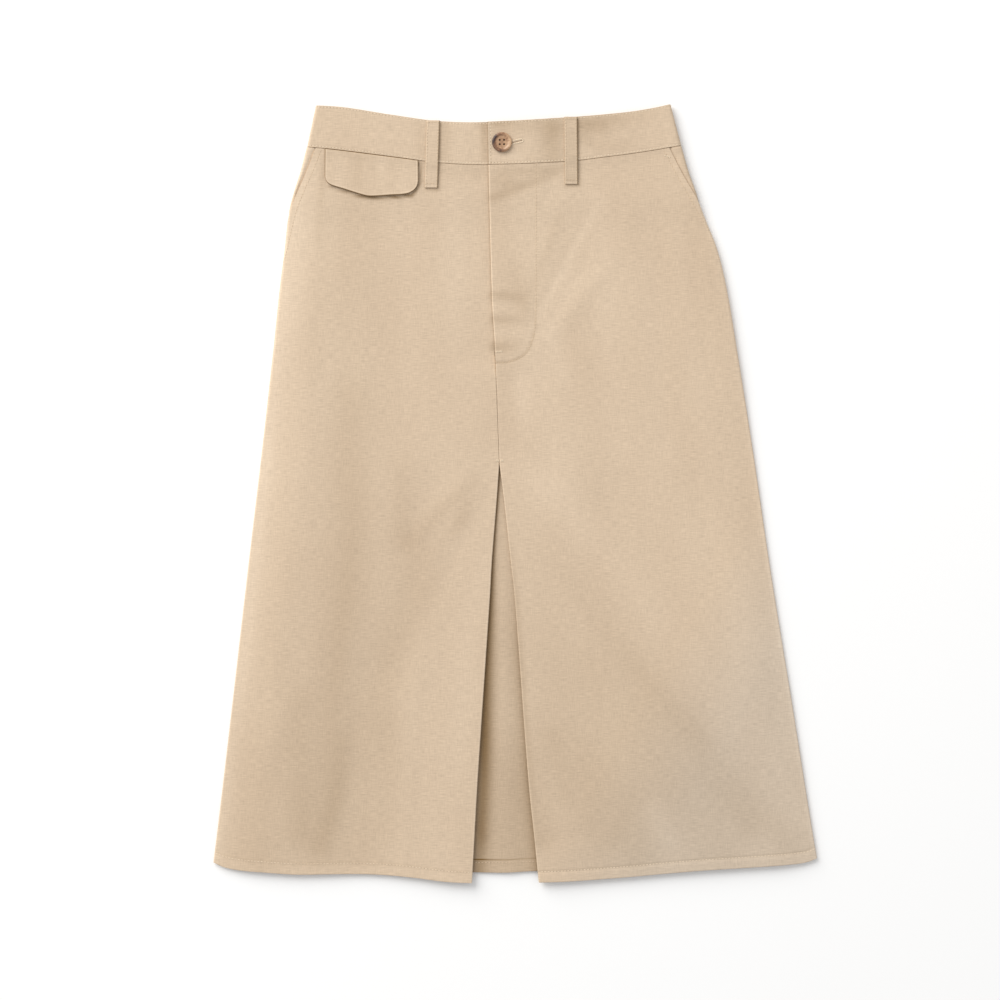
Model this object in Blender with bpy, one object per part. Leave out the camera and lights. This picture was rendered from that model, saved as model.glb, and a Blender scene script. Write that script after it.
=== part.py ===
"""A-line skirt in plain canvas with one inverted box pleat at the centre front, laid flat on its back.

The waist points to +Y, the floor is z = 0 and the front faces up. All sizes are in millimetres until a mesh
is made. Right and left in the names are the wearer's: the wearer's right is at -X. Each panel is a wall built
on its middle surface. A row of that surface is one cross section of the skirt, from the side seam under the
skirt, round the side fold, over the top to the centre front and back under it as the pleat's return.
"""

import math

import bmesh
import bpy
from mathutils import Vector

MM = 0.001

# Cloth
CLOTH = 1.0  # one layer of canvas
BAND = 2.0  # waistband: canvas, stiffener and canvas
FLAP = 1.4  # pocket flap: two layers
GAP = 0.3  # between pieces at a seam or lying on each other
LAYER = CLOTH + GAP  # one layer down
SEAM_UNDER = 12.0  # how far behind the side fold the side seam lies

# Heights
LOOP_LIFT = 1.3  # the back belt loops hold the waist this far off the floor
LOOP_RISE = (250.0, 286.0)  # y over which the back rises on to them
SEAM_STEP = 9.0  # depth below the waist seam over which the back rises to the thicker band's middle
FRONT_OVER_WAIST = 3.3  # middle of the front above the middle of the back, at the waist seam
FRONT_OVER_BODY = 4.0  # the same on the body
WAIST_FALL = (255.0, 313.0)  # y over which one changes to the other
FOLD_RADIUS = 0.65  # middle of the cloth in a pressed fold
SIDE_SOFTNESS = 40.0  # width over which the front rises from the side fold
FOLDS_FADE = (270.0, 310.0)  # y over which the soft folds run out towards the waist seam

# Fly and pleat
UNDER_REACH = 8.0  # how far the right front runs under the fly's edge
FLAT_MARGIN = 2.0  # how far the level strip beside the centre front edge runs past the layers under it
FLY_TURN = 6.0  # turned-in allowance down the centre front
UNDER_REACH_ENDS = (132.0, 152.0)  # y over which the right front's reach under the fly runs out
FLY_FLAT_ENDS = (122.0, 185.0)  # y over which the level strip of the left front narrows to the seam's
PLEAT_TOP = 27.3  # y of the pleat's top
RETURN_TOP = 10.0  # depth of the pleat's return at its top
RETURN_FULL = 52.0  # the same, once its slanted top has run out
RETURN_SLANT = 90.0  # height of that slanted top
RETURN_HEM_RISE = 8.0  # how much shorter the returns are at their seams
RETURN_HEM_FROM = (-300.0, -369.0)  # y over which they shorten
RETURN_FALL = 0.8  # share of the return's depth over which it comes down to its seam
PLEAT_CLEAR_BELOW = 60.0  # y below which the soft folds keep off the pleat's layers
PLEAT_CLEARANCE = 22.0  # width beyond those layers over which the soft folds come in
UNDERLAY_LEVEL = CLOTH * 1.5 + GAP  # middle of the underlay, which lies on the back
PLEAT_SEAM = 1.2  # straight run of the underlay between its fold and its seam with the return
CENTRE_SOFTNESS = 60.0  # width over which the front settles beside the centre front

# Waistband, loops and trims
UNDERLAP = 34.0  # how far the band's right end runs under its left end
LOOP_WIDTH = 12.4
LOOP_CLOTH = 1.0
LOOP_LENGTH = 64.0
LOOP_BOW = 0.9
FRONT_LOOPS = {  # x at the top and at the bottom
    "belt_loop_front_right": (-78.6, -80.6),
    "belt_loop_front_left": (52.0, 52.6),
}
BACK_LOOPS = {  # x
    "belt_loop_back_right": -122.0,
    "belt_loop_back_centre": -21.0,
    "belt_loop_back_left": 82.0,
}
BUTTON_WIDTH = 18.8
BUTTON_PROFILE = (  # share of the radius, height
    (0.0, 0.0),
    (0.55, 0.0),
    (0.90, 0.5),
    (1.0, 1.2),
    (0.96, 2.3),
    (0.85, 2.6),
    (0.72, 2.35),
    (0.62, 1.7),
    (0.0, 1.7),
)
BUTTON_STEPS = 28  # sides of the turned button
BUTTON_HOLE = 1.9
BUTTON_HOLE_PITCH = 4.1
BUTTON_HOLE_SIDES = 10
BUTTON_X = -13.4
BUTTON_Y = 333.4
ZIP_WIDTH = 14.0
ZIP_TOP = 306.0
ZIP_END = 156.0

# y of the waist seam where it meets the centre front and the side folds
SEAM_CENTRE_Y = 313.0
SEAM_SIDE_Y = 331.0

# Outline of the skirt on the floor: y, right side, left side.
OUTLINE = (
    (331.0, -198.4, 157.0),
    (307.0, -204.6, 163.8),
    (288.0, -210.6, 170.6),
    (268.0, -215.8, 177.2),
    (232.0, -220.0, 191.4),
    (194.0, -224.8, 200.6),
    (142.0, -230.2, 209.4),
    (42.0, -241.5, 225.2),
    (-72.0, -255.0, 242.0),
    (-205.0, -270.4, 263.6),
    (-300.0, -281.6, 278.6),
    (-352.0, -288.0, 287.2),
)

# Waist seam and top edge of the waistband: x, y.
WAIST_SEAM = (
    (-198.4, 329.4),
    (-180.0, 327.8),
    (-151.0, 324.4),
    (-115.0, 319.8),
    (-73.0, 314.4),
    (-27.0, 312.6),
    (46.0, 315.4),
    (89.0, 320.4),
    (120.0, 324.6),
    (157.0, 330.8),
)
WAIST_TOP = (
    (-190.0, 368.9),
    (-164.0, 367.2),
    (-118.0, 360.0),
    (-73.0, 354.0),
    (-27.0, 353.2),
    (46.0, 357.4),
    (104.0, 362.4),
    (130.0, 366.4),
    (146.8, 370.1),
)

# Hems by share of the way from the centre front to the side: share, right front, left front.
FRONT_HEM = (
    (0.0, -369.8, -369.4),
    (0.10, -368.7, -368.5),
    (0.22, -365.0, -366.4),
    (0.34, -362.4, -363.9),
    (0.45, -361.5, -361.2),
    (0.57, -361.7, -358.5),
    (0.68, -361.9, -356.6),
    (0.80, -360.0, -354.6),
    (0.90, -357.9, -352.6),
    (0.96, -355.0, -350.6),
    (1.0, -350.6, -346.8),
)
# Hems by share of the way across, from -X to +X: share, y.
BACK_HEM = (
    (0.0, -351.5),
    (0.08, -354.0),
    (0.3, -355.6),
    (0.5, -356.0),
    (0.7, -354.6),
    (0.92, -350.6),
    (1.0, -348.0),
)
UNDERLAY_HEM = ((0.0, -361.4), (0.3, -360.0), (0.5, -360.3), (0.7, -358.8), (1.0, -361.0))
HEM_BAND = 11.8  # height of the hem's turned-up band, which shows on the underlay
HEM_BAND_RISE = 0.6  # how much thicker the underlay is there
HEM_BAND_STEP = 0.5  # height of the slope at its upper edge

# Centre front edge on the skirt's face, down to the pleat's top: y, x.
FLY_EDGE = ((372.0, -27.4), (313.0, -26.2), (184.0, -22.8), (135.0, -19.8), (PLEAT_TOP, -15.6))
# The pleat's two outer folds: y, left front's fold, right front's fold.
PLEAT_EDGES = (
    (PLEAT_TOP, -15.6, -15.9),
    (-10.0, -11.0, -18.6),
    (-63.0, -5.3, -22.8),
    (-100.0, -1.2, -24.9),
    (-272.0, 11.7, -36.4),
    (-335.0, 18.2, -39.9),
    (-370.0, 21.7, -41.9),
)

# Radius of the side fold, at the middle of the cloth: y, radius. It is widest round the pocket.
SIDE_FOLD = ((-360.0, 1.0), (40.0, 1.0), (120.0, 1.95), (305.0, 1.95), (331.0, 1.7), (372.0, 1.7))

# Slant of each pocket mouth: distance along the cloth from the side fold at the waist, and its change per mm
POCKET_MOUTH = {-1: (-9.0, 0.120), 1: (-12.0, 0.200)}
POCKET_INSIDE = 20.0  # how far the facing runs on under the front
FACING_END = 0.3  # share of the front's length that the facing reaches down
FACING_STEP = (8.0, 1.0)  # distances beyond the mouth's edge between which the facing goes in under the front
PROBE_ACROSS = 0.05  # step across the cloth, in mm, that the facing's slope is taken from
PROBE_DOWN = 0.001  # the same down it, as a share of its length

# Height of the centre front edge above the middle of the back cloth: y, left front, right front.
CENTRE_RISE = (
    (372.0, 5.4, 2.7),
    (150.0, 5.4, 2.7),
    (130.0, 5.4, 2.7),
    (108.0, 4.1, 4.1),
    (PLEAT_TOP, 4.1, 4.1),
    (-60.0, 4.4, 4.6),
    (-200.0, 4.8, 5.4),
    (-370.0, 4.9, 5.9),
)

# Soft folds of the front as it lies: name, start x, start y, end x, end y, half width, height.
FOLDS = (
    ("right side swell", -203.0, 190.0, -226.0, -320.0, 30.0, 0.9),
    ("right valley, upper", -80.0, 0.0, -128.0, -170.0, 26.0, -0.9),
    ("right valley, lower", -128.0, -170.0, -142.0, -345.0, 32.0, -1.7),
    ("left ridge from the pleat's top", 4.0, -10.0, 178.0, -330.0, 26.0, 0.9),
    ("left valley beside it", 92.0, -10.0, 244.0, -290.0, 30.0, -1.2),
    ("drag line to the fly", 76.0, 205.0, 14.0, 138.0, 9.0, 0.6),
    ("right hip hollow", -120.0, 190.0, -118.0, 60.0, 34.0, -0.6),
)

# Corner-rounded lower edge of the pocket flap: share of its width, y.
FLAP_LEFT_X = -181.6
FLAP_RIGHT_X = -92.6
FLAP_EDGE = (
    (0.0, 301.0),
    (0.02, 296.6),
    (0.06, 293.4),
    (0.20, 289.3),
    (0.42, 283.2),
    (0.50, 282.3),
    (0.70, 283.4),
    (0.87, 284.6),
    (0.94, 287.4),
    (0.98, 291.6),
    (1.0, 297.5),
)
FLAP_OPEN = 0.7  # how far its lower edge stands off the front

# Rows of the front and back panels: share of the way from the waist seam to the hem.
PANEL_ROWS = (
    0.0, 0.015, 0.03, 0.045, 0.058, 0.069, 0.08, 0.091, 0.102, 0.114, 0.128, 0.146, 0.17, 0.2,
    0.222, 0.239, 0.254, 0.268, 0.282, 0.31, 0.35, 0.4, 0.4188, 0.434, 0.455, 0.485, 0.52, 0.55,
    0.6, 0.65, 0.71, 0.77, 0.83, 0.89, 0.94, 0.975, 1.0,
)
# Columns of a front panel's top: share of the way from the end of the side's soft slope to the centre front
FRONT_COLUMNS = (0.15, 0.30, 0.45, 0.60, 0.74, 0.86, 0.95)
SIDE_STEPS = (4.0, 10.0, 20.0, 36.0)  # columns beside the side fold, by distance from it
WRAP_STEPS = 8  # columns round the side fold and on to the side seam
WRAP_DENSITY = 4.0  # how much closer they are on the fold itself
WRAP_FACE = 2.0  # the last of them lies at least this far past the panel's edge
HALVINGS = 30  # steps of the search that places them
TURN_STEPS = 4  # columns round a fold at the centre
BACK_COLUMNS = (
    0.0, 0.035, 0.09, 0.16, 0.23, 0.30, 0.36, 0.42, 0.48, 0.54, 0.61, 0.68, 0.75, 0.82, 0.90, 0.965, 1.0,
)
UNDERLAY_COLUMNS = (0.12, 0.25, 0.38, 0.5, 0.62, 0.75, 0.88)
BAND_ROWS = (0.0, 0.35, 0.7, 1.0)
BAND_COLUMNS = 16  # steps along each of the waistband's three stretches
BAND_TURN_STEPS = 6  # steps round each of its side folds
LOOP_ROWS = (0.0, 0.06, 0.2, 0.4, 0.6, 0.75, 0.88, 0.95, 1.0)
BACK_LOOP_ROWS = (0.0, 0.25, 0.5, 0.75, 1.0)
FLAP_ROWS = (0.0, 0.25, 0.5, 0.75, 1.0)
FLAP_COLUMNS = (0.0, 0.02, 0.06, 0.13, 0.24, 0.34, 0.42, 0.5, 0.6, 0.72, 0.83, 0.90, 0.95, 0.985, 1.0)
ZIP_ROWS = (0.0, 0.15, 0.3, 0.5, 0.7, 0.85, 1.0)
ZIP_COLUMNS = 3

CANVAS = ((0.66, 0.53, 0.38), 0.92)
HORN = ((0.30, 0.19, 0.12), 0.30)
ZIP_TAPE = ((0.62, 0.50, 0.36), 0.85)


def ease(low, high, value):
    """0 below low, 1 above high, and a smooth step between."""
    t = min(1.0, max(0.0, (value - low) / (high - low)))
    return t * t * (3.0 - 2.0 * t)


def mix(a, b, share):
    return a + (b - a) * share


def along(rows, place, column=1):
    """Value of a table's column at a place in its first column, on a smooth curve through the rows."""
    rows = rows if rows[0][0] < rows[-1][0] else rows[::-1]
    last = len(rows) - 1
    place = min(rows[last][0], max(rows[0][0], place))
    i = next(k for k in range(last) if place <= rows[k + 1][0])

    def slope(k):
        before, after = rows[max(0, k - 1)], rows[min(last, k + 1)]
        return (after[column] - before[column]) / (after[0] - before[0])

    span = rows[i + 1][0] - rows[i][0]
    t = (place - rows[i][0]) / span
    return (
        (2 * t**3 - 3 * t**2 + 1) * rows[i][column]
        + (t**3 - 2 * t**2 + t) * span * slope(i)
        + (3 * t**2 - 2 * t**3) * rows[i + 1][column]
        + (t**3 - t**2) * span * slope(i + 1)
    )


# The shape of the skirt as it lies


def side_edge(side, y):
    """x of the outline. side is -1 for the wearer's right and 1 for the left."""
    return along(OUTLINE, y, 1 if side < 0 else 2)


def under_fly(y):
    """1 where the right front runs on under the fly's edge, 0 below the fly."""
    return ease(*UNDER_REACH_ENDS, y)


def centre_edge(side, y):
    """x of a front panel's folded edge at the centre front."""
    if y < PLEAT_TOP:
        return along(PLEAT_EDGES, y, 1 if side > 0 else 2)
    if side > 0:
        return along(FLY_EDGE, y)
    return along(FLY_EDGE, y) + mix(-GAP, UNDER_REACH, under_fly(y))


def back_height(x, y):
    """Middle of the back cloth. It lies on the floor, and rises on to the belt loops at the waist."""
    at_seam = ease(SEAM_STEP, 0.0, along(WAIST_SEAM, x) - y)
    return CLOTH / 2 + LOOP_LIFT * ease(*LOOP_RISE, y) + (BAND - CLOTH) / 2 * at_seam


def return_depth(y):
    """How far the pleat's return reaches under the front. It slants in to the top of the pleat."""
    return RETURN_FULL - (RETURN_FULL - RETURN_TOP) * max(0.0, 1.0 - (PLEAT_TOP - y) / RETURN_SLANT)


def soft_folds(x, y):
    """Height that the soft folds add at a point of the front."""
    height = 0.0
    for _, x0, y0, x1, y1, half_width, rise in FOLDS:
        run = Vector((x1 - x0, y1 - y0))
        share = min(1.0, max(0.0, Vector((x - x0, y - y0)).dot(run) / run.length_squared))
        off = Vector((x - x0, y - y0)) - run * share
        height += rise * math.exp(-((off.length / half_width) ** 2))
    return height


def centre_flat(side, y):
    """Width beside the centre front edge that lies level with it."""
    if side < 0:
        return (UNDER_REACH + FLAT_MARGIN) * under_fly(y)
    return mix(FLY_TURN, UNDERLAP + FLAT_MARGIN, ease(*FLY_FLAT_ENDS, y))


def settle(level, centre, from_centre, flat, from_side, radius):
    """Height over the back's middle: level in the open, eased to those of the centre front and side fold."""
    level = mix(centre, level, ease(flat, flat + CENTRE_SOFTNESS, from_centre))
    return mix(2.0 * radius, level, ease(0.0, SIDE_SOFTNESS, from_side))


def front_height(side, x, y):
    """Middle of the front cloth where it faces up."""
    level = mix(FRONT_OVER_BODY, FRONT_OVER_WAIST, ease(*WAIST_FALL, y))
    from_centre = abs(x - centre_edge(side, y))
    folds = soft_folds(x, y)
    if folds < 0.0 and y < PLEAT_CLEAR_BELOW:
        beyond_pleat = from_centre - (return_depth(y) if y < PLEAT_TOP else 0.0)
        folds *= ease(0.0, PLEAT_CLEARANCE, beyond_pleat)
    level += folds * (1.0 - ease(*FOLDS_FADE, y))
    radius = along(SIDE_FOLD, y)
    from_side = abs(side_edge(side, y) - x) - CLOTH / 2 - radius
    centre = along(CENTRE_RISE, y, 1 if side > 0 else 2)
    return back_height(x, y) + settle(level, centre, from_centre, centre_flat(side, y), from_side, radius)


def row_y(side, share_down, share_out):
    """y of a point of a front panel, by its share of the way down and out from the centre front."""
    seam_x = mix(centre_edge(side, SEAM_CENTRE_Y), side_edge(side, SEAM_SIDE_Y), share_out)
    top = along(WAIST_SEAM, seam_x) - GAP
    hem = along(FRONT_HEM, share_out, 1 if side < 0 else 2)
    return mix(top, hem, share_down)


def skin_point(side, share_down, out):
    """Point of the front's middle surface.

    out is measured along the cloth from the side fold: negative on the face, positive on the underside.
    """
    y_side = row_y(side, share_down, 1.0)
    radius = along(SIDE_FOLD, y_side)
    quarter = math.pi * radius / 2
    axis_x = side_edge(side, y_side) - side * (CLOTH / 2 + radius)
    centre_x = centre_edge(side, row_y(side, share_down, 0.0))
    if out > quarter:
        x = axis_x - side * (out - quarter)
    elif out > -quarter:
        x = axis_x + side * radius * math.cos(out / radius)
    else:
        x = axis_x - side * (-quarter - out)
    share_out = min(1.0, (x - centre_x) / (side_edge(side, y_side) - centre_x))
    y = row_y(side, share_down, share_out)
    if out > quarter:
        z = back_height(x, y)
    elif out > -quarter:
        z = back_height(axis_x, y) + radius - radius * math.sin(out / radius)
    else:
        z = front_height(side, x, y)
    return Vector((x, y, z))


def pocket_mouth(side, share_down):
    """Where the front's pocket edge crosses a row, measured as in skin_point."""
    start, slope = POCKET_MOUTH[side]
    drop = row_y(side, 0.0, 1.0) - row_y(side, share_down, 1.0)
    return min(SEAM_UNDER, start + slope * drop)


# Making the meshes


def moved(grid, distance):
    """The grid moved along its own normals. Corners are mitred across each row, so folds keep their width."""
    rows, columns = len(grid), len(grid[0])
    result = []
    for i in range(rows):
        result.append([])
        for j in range(columns):
            point = grid[i][j]
            down = grid[min(rows - 1, i + 1)][j] - grid[max(0, i - 1)][j]
            before = (point - grid[i][j - 1]).normalized() if j else Vector()
            after = (grid[i][j + 1] - point).normalized() if j + 1 < columns else Vector()
            across = before + after
            mitre = across.length / 2 if j and j + 1 < columns else 1.0
            result[i].append(point + across.cross(down).normalized() * (distance / mitre))
    return result


def material(name, finish):
    colour, roughness = finish
    made = bpy.data.materials.new(name)
    made.use_nodes = True
    shader = made.node_tree.nodes["Principled BSDF"]
    shader.inputs["Base Color"].default_value = (*colour, 1.0)
    shader.inputs["Roughness"].default_value = roughness
    shader.inputs["Metallic"].default_value = 0.0
    return made


def add_object(name, mesh_maker, finish):
    """Object with the mesh that mesh_maker fills in, and its own material."""
    mesh = bmesh.new()
    mesh_maker(mesh)
    bmesh.ops.recalc_face_normals(mesh, faces=mesh.faces)
    bmesh.ops.scale(mesh, vec=(MM, MM, MM), verts=mesh.verts)
    data = bpy.data.meshes.new(name)
    mesh.to_mesh(data)
    mesh.free()
    data.materials.append(material(name, finish))
    made = bpy.data.objects.new(name, data)
    bpy.context.scene.collection.objects.link(made)
    data.shade_smooth()
    data.set_sharp_from_angle(angle=math.radians(40.0))
    return made


def wall(name, grid, thickness, finish=CANVAS, raised=None):
    """A closed wall of this thickness on a grid of its middle points.

    raised gives the extra height of the upper side at a row and a column.
    """
    rows, columns = len(grid), len(grid[0])
    upper = moved(grid, thickness / 2)
    lower = moved(grid, -thickness / 2)
    if raised:
        upper = [
            [p + Vector((0.0, 0.0, raised(i, j))) for j, p in enumerate(row)] for i, row in enumerate(upper)
        ]

    def build(mesh):
        top, bottom = ([mesh.verts.new(p) for row in surface for p in row] for surface in (upper, lower))
        for side in (top, bottom):
            for i in range(rows - 1):
                for j in range(columns - 1):
                    a = i * columns + j
                    mesh.faces.new([side[k] for k in (a, a + 1, a + columns + 1, a + columns)])
        rim = list(range(columns))
        rim += [i * columns + columns - 1 for i in range(1, rows)]
        rim += [(rows - 1) * columns + j for j in range(columns - 2, -1, -1)]
        rim += [i * columns for i in range(rows - 2, 0, -1)]
        for a, b in zip(rim, rim[1:] + rim[:1]):
            mesh.faces.new((top[a], top[b], bottom[b], bottom[a]))

    return add_object(name, build, finish)


# The pieces


def wrap_steps(quarter, outer):
    """Where a front panel's columns lie, measured as in skin_point, from its outer edge to the face."""
    inner = min(-quarter, outer - WRAP_FACE)

    def weight(s):
        on_fold = max(0.0, min(s, quarter) - max(inner, -quarter))
        return (s - inner) + (WRAP_DENSITY - 1.0) * on_fold

    def at(wanted):
        low, high = inner, outer
        for _ in range(HALVINGS):
            middle = (low + high) / 2
            low, high = (middle, high) if weight(middle) < wanted else (low, middle)
        return high

    steps = [at(weight(outer) * (1.0 - k / WRAP_STEPS)) for k in range(WRAP_STEPS)]
    return steps + [inner] + [inner - distance for distance in SIDE_STEPS]


def hem_rise(y_row, share):
    """The pleat's returns have shorter hems than the face, so that they stay hidden."""
    return RETURN_HEM_RISE * share * ease(*RETURN_HEM_FROM, y_row)


def pleat_rows():
    """y of the front panels' rows at the centre, below the pleat's top."""
    rows = [row_y(1, down, 0.0) for down in PANEL_ROWS]
    return [y for y in rows if y < PLEAT_TOP]


def front_panel(name, side):
    """Half front, cut in one with its half of the pleat."""
    turn = CLOTH / 2 + FOLD_RADIUS
    grid = []
    for down in PANEL_ROWS:
        y_side, y_centre = row_y(side, down, 1.0), row_y(side, down, 0.0)
        quarter = math.pi * along(SIDE_FOLD, y_side) / 2
        row = [skin_point(side, down, s) for s in wrap_steps(quarter, pocket_mouth(side, down))]

        start_x, end_x = row[-1].x, centre_edge(side, y_centre)
        outline_x = side_edge(side, y_side)
        for share in FRONT_COLUMNS + (1.0,):
            x = mix(start_x, end_x + side * turn, share)
            y = row_y(side, down, (x - end_x) / (outline_x - end_x))
            row.append(Vector((x, y, front_height(side, x, y))))

        top = row[-1].z
        for angle in (math.pi * k / TURN_STEPS for k in range(1, TURN_STEPS + 1)):
            x = end_x + side * (turn - FOLD_RADIUS * math.sin(angle))
            row.append(Vector((x, y_centre, top - FOLD_RADIUS + FOLD_RADIUS * math.cos(angle))))

        low = top - 2 * FOLD_RADIUS
        width, end_z = FLY_TURN, low
        if y_centre < PLEAT_TOP:
            width = return_depth(y_centre) - 2 * turn - PLEAT_SEAM - GAP
            end_z = UNDERLAY_LEVEL + 2 * FOLD_RADIUS
        for share in (0.2, 0.6, 1.0):
            y = y_centre + hem_rise(y_centre, share)
            x = centre_edge(side, y) + side * (turn + width * share)
            row.append(Vector((x, y, mix(low, end_z, ease(0.0, RETURN_FALL, share)))))
        grid.append(row)
    return wall(name, grid, CLOTH)


def pleat_underlay():
    """Back of the box pleat. Its sides turn up at the pleat's inner folds to meet the two returns."""
    level = UNDERLAY_LEVEL
    turn = CLOTH / 2 + FOLD_RADIUS
    hem_y = min(y for _, y in UNDERLAY_HEM)
    band_y = hem_y + HEM_BAND
    rows = [y for y in pleat_rows() if y > band_y + 2 * HEM_BAND_STEP]
    rows += [band_y + HEM_BAND_STEP, band_y, hem_y]
    angles = [math.pi * k / TURN_STEPS for k in range(TURN_STEPS + 1)]
    half_turn = [(math.sin(angle), math.cos(angle)) for angle in angles]
    grid = []
    for y_row in rows:
        left = centre_edge(-1, y_row) - return_depth(y_row) + turn
        right = centre_edge(1, y_row) + return_depth(y_row) - turn
        row = [(left + PLEAT_SEAM, level + 2 * FOLD_RADIUS)]
        row += [(left - FOLD_RADIUS * out, level + FOLD_RADIUS * (1 + up)) for out, up in half_turn]
        row += [(mix(left, right, share), level) for share in UNDERLAY_COLUMNS]
        row += [(right + FOLD_RADIUS * out, level + FOLD_RADIUS * (1 + up)) for out, up in half_turn[::-1]]
        row.append((right - PLEAT_SEAM, level + 2 * FOLD_RADIUS))
        shares = [min(1.0, max(0.0, (x - left) / (right - left))) for x, _ in row]
        hems = [along(UNDERLAY_HEM, share) for share in shares]
        grid.append([Vector((x, max(y_row, hem), z)) for (x, z), hem in zip(row, hems)])
    on_face = range(TURN_STEPS + 2, len(grid[0]) - TURN_STEPS - 2)

    def band(i, j):
        return HEM_BAND_RISE if j in on_face and rows[i] <= band_y else 0.0

    return wall("pleat_underlay", grid, CLOTH, raised=band)


def back_panel():
    """One plain back, between the side seams under the skirt."""
    seam_ends = [skin_point(side, 0.0, SEAM_UNDER).x for side in (-1, 1)]
    grid = []
    for down in PANEL_ROWS:
        ends = [skin_point(side, down, SEAM_UNDER) - Vector((side * GAP, 0.0, 0.0)) for side in (-1, 1)]
        row = []
        for share in BACK_COLUMNS:
            x = mix(ends[0].x, ends[1].x, share)
            y = mix(along(WAIST_SEAM, mix(*seam_ends, share)) - GAP, along(BACK_HEM, share), down)
            row.append(Vector((x, y, back_height(x, y))))
        drift = [end.y - point.y for end, point in zip(ends, (row[0], row[-1]))]
        for point, share in zip(row, BACK_COLUMNS):
            point.y += drift[0] * ease(0.3, 0.0, share) + drift[1] * ease(0.7, 1.0, share)
        grid.append(row)
    return wall("back_panel", grid, CLOTH)


def pocket_facing(name, side):
    """The piece that shows in the pocket mouth, from under the front round to the side seam."""
    grid = []
    for down in (share for share in PANEL_ROWS if share <= FACING_END):
        quarter = math.pi * along(SIDE_FOLD, row_y(side, down, 1.0)) / 2
        mouth = pocket_mouth(side, down)
        inner = min(mouth, 0.0) - POCKET_INSIDE - quarter
        steps = [SEAM_UNDER, mix(quarter, SEAM_UNDER, 0.7), mix(quarter, SEAM_UNDER, 0.4)]
        steps += [quarter * (1.0 - 2.0 * k / TURN_STEPS) for k in range(TURN_STEPS + 1)]
        steps += [mix(-quarter, inner, share) for share in (0.12, 0.25, 0.38, 0.5, 0.75, 1.0)]
        row = []
        for s in steps:
            point = skin_point(side, down, s)
            across = skin_point(side, down, s - PROBE_ACROSS) - point
            below = skin_point(side, down + PROBE_DOWN, s) - point
            outward = across.cross(below).normalized() * side
            sunk, level = (mouth + distance for distance in FACING_STEP)
            row.append(point - outward * LAYER * ease(sunk, level, s))
        grid.append(row)
    return wall(name, grid, CLOTH)


def band_end(side, y):
    """x of the waistband's outline."""
    top, seam = (WAIST_TOP[0], WAIST_SEAM[0]) if side < 0 else (WAIST_TOP[-1], WAIST_SEAM[-1])
    return mix(seam[0], top[0], (y - seam[1]) / (top[1] - seam[1]))


def band_height(side, x, y):
    """Middle of the waistband's front half."""
    edge = centre_edge(1, y) + (UNDER_REACH if side < 0 else 0.0)
    from_centre = max(0.0, (x - edge) * side)
    radius = along(SIDE_FOLD, WAIST_SEAM[0][1])
    from_side = abs(band_end(side, y) - x) - BAND / 2 - radius
    centre = along(CENTRE_RISE, y, 1 if side > 0 else 2)
    level = settle(FRONT_OVER_WAIST, centre, from_centre, centre_flat(side, y), from_side, radius)
    return LOOP_LIFT + BAND / 2 + level


def waistband():
    """One strip, from its right end under the fly, round the back, to its buttoned left end."""
    back = LOOP_LIFT + BAND / 2
    radius = along(SIDE_FOLD, WAIST_SEAM[0][1])
    turns = [math.pi * k / BAND_TURN_STEPS for k in range(1, BAND_TURN_STEPS)]
    grid = []
    for down in BAND_ROWS:
        ends = [mix(WAIST_TOP[k][0], WAIST_SEAM[k][0], down) for k in (0, -1)]

        def band_y(x):
            share = (x - ends[0]) / (ends[1] - ends[0])
            top_y = along(WAIST_TOP, mix(WAIST_TOP[0][0], WAIST_TOP[-1][0], share))
            return mix(top_y, along(WAIST_SEAM, mix(WAIST_SEAM[0][0], WAIST_SEAM[-1][0], share)), down)

        right_fold = ends[0] + BAND / 2 + radius
        left_fold = ends[1] - BAND / 2 - radius
        edge = centre_edge(1, band_y(FLY_EDGE[0][1]))
        row = []
        stretches = ((edge + UNDERLAP, right_fold, -1), (right_fold, left_fold, 0), (left_fold, edge, 1))
        for first, last, side in stretches:
            for k in range(BAND_COLUMNS + 1):
                x = mix(first, last, k / BAND_COLUMNS)
                y = band_y(x)
                row.append(Vector((x, y, band_height(side, x, y) if side else back)))
            if side == 1:
                continue
            for angle in turns if side == -1 else turns[::-1]:
                x = last + (1 + 2 * side) * radius * math.sin(angle)
                row.append(Vector((x, band_y(x), back + radius * (1 + math.cos(angle)))))
        grid.append(row)
    return wall("waistband", grid, BAND)


def face_height(x, y):
    """Outer surface of the band or front at a point of the skirt's face."""
    side = -1 if x < centre_edge(1, y) else 1
    if y < along(WAIST_SEAM, x):
        return front_height(side, x, y) + CLOTH / 2
    return band_height(side, x, y) + BAND / 2


def front_loop(name, top_x, bottom_x):
    """Belt loop on the face, sewn down at its two ends."""
    top_y = along(WAIST_TOP, top_x)
    grid = []
    for share in LOOP_ROWS:
        y = top_y - LOOP_LENGTH * share
        across = [mix(top_x, bottom_x, share) + LOOP_WIDTH * k / 2 for k in (-1, 0, 1)]
        bow = LOOP_BOW * ease(0.0, 0.25, share) * ease(1.0, 0.8, share)
        grid.append([Vector((x, y, face_height(x, y) + GAP + LOOP_CLOTH / 2 + bow)) for x in across])
    return wall(name, grid, LOOP_CLOTH)


def back_loop(name, x):
    """Belt loop on the back. The skirt lies on it."""
    top_y = along(WAIST_TOP, x)
    grid = []
    for share in BACK_LOOP_ROWS:
        y = top_y - LOOP_LENGTH * share
        grid.append([Vector((x + LOOP_WIDTH * k / 2, y, LOOP_CLOTH / 2)) for k in (-1, 0, 1)])
    return wall(name, grid, LOOP_CLOTH)


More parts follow.
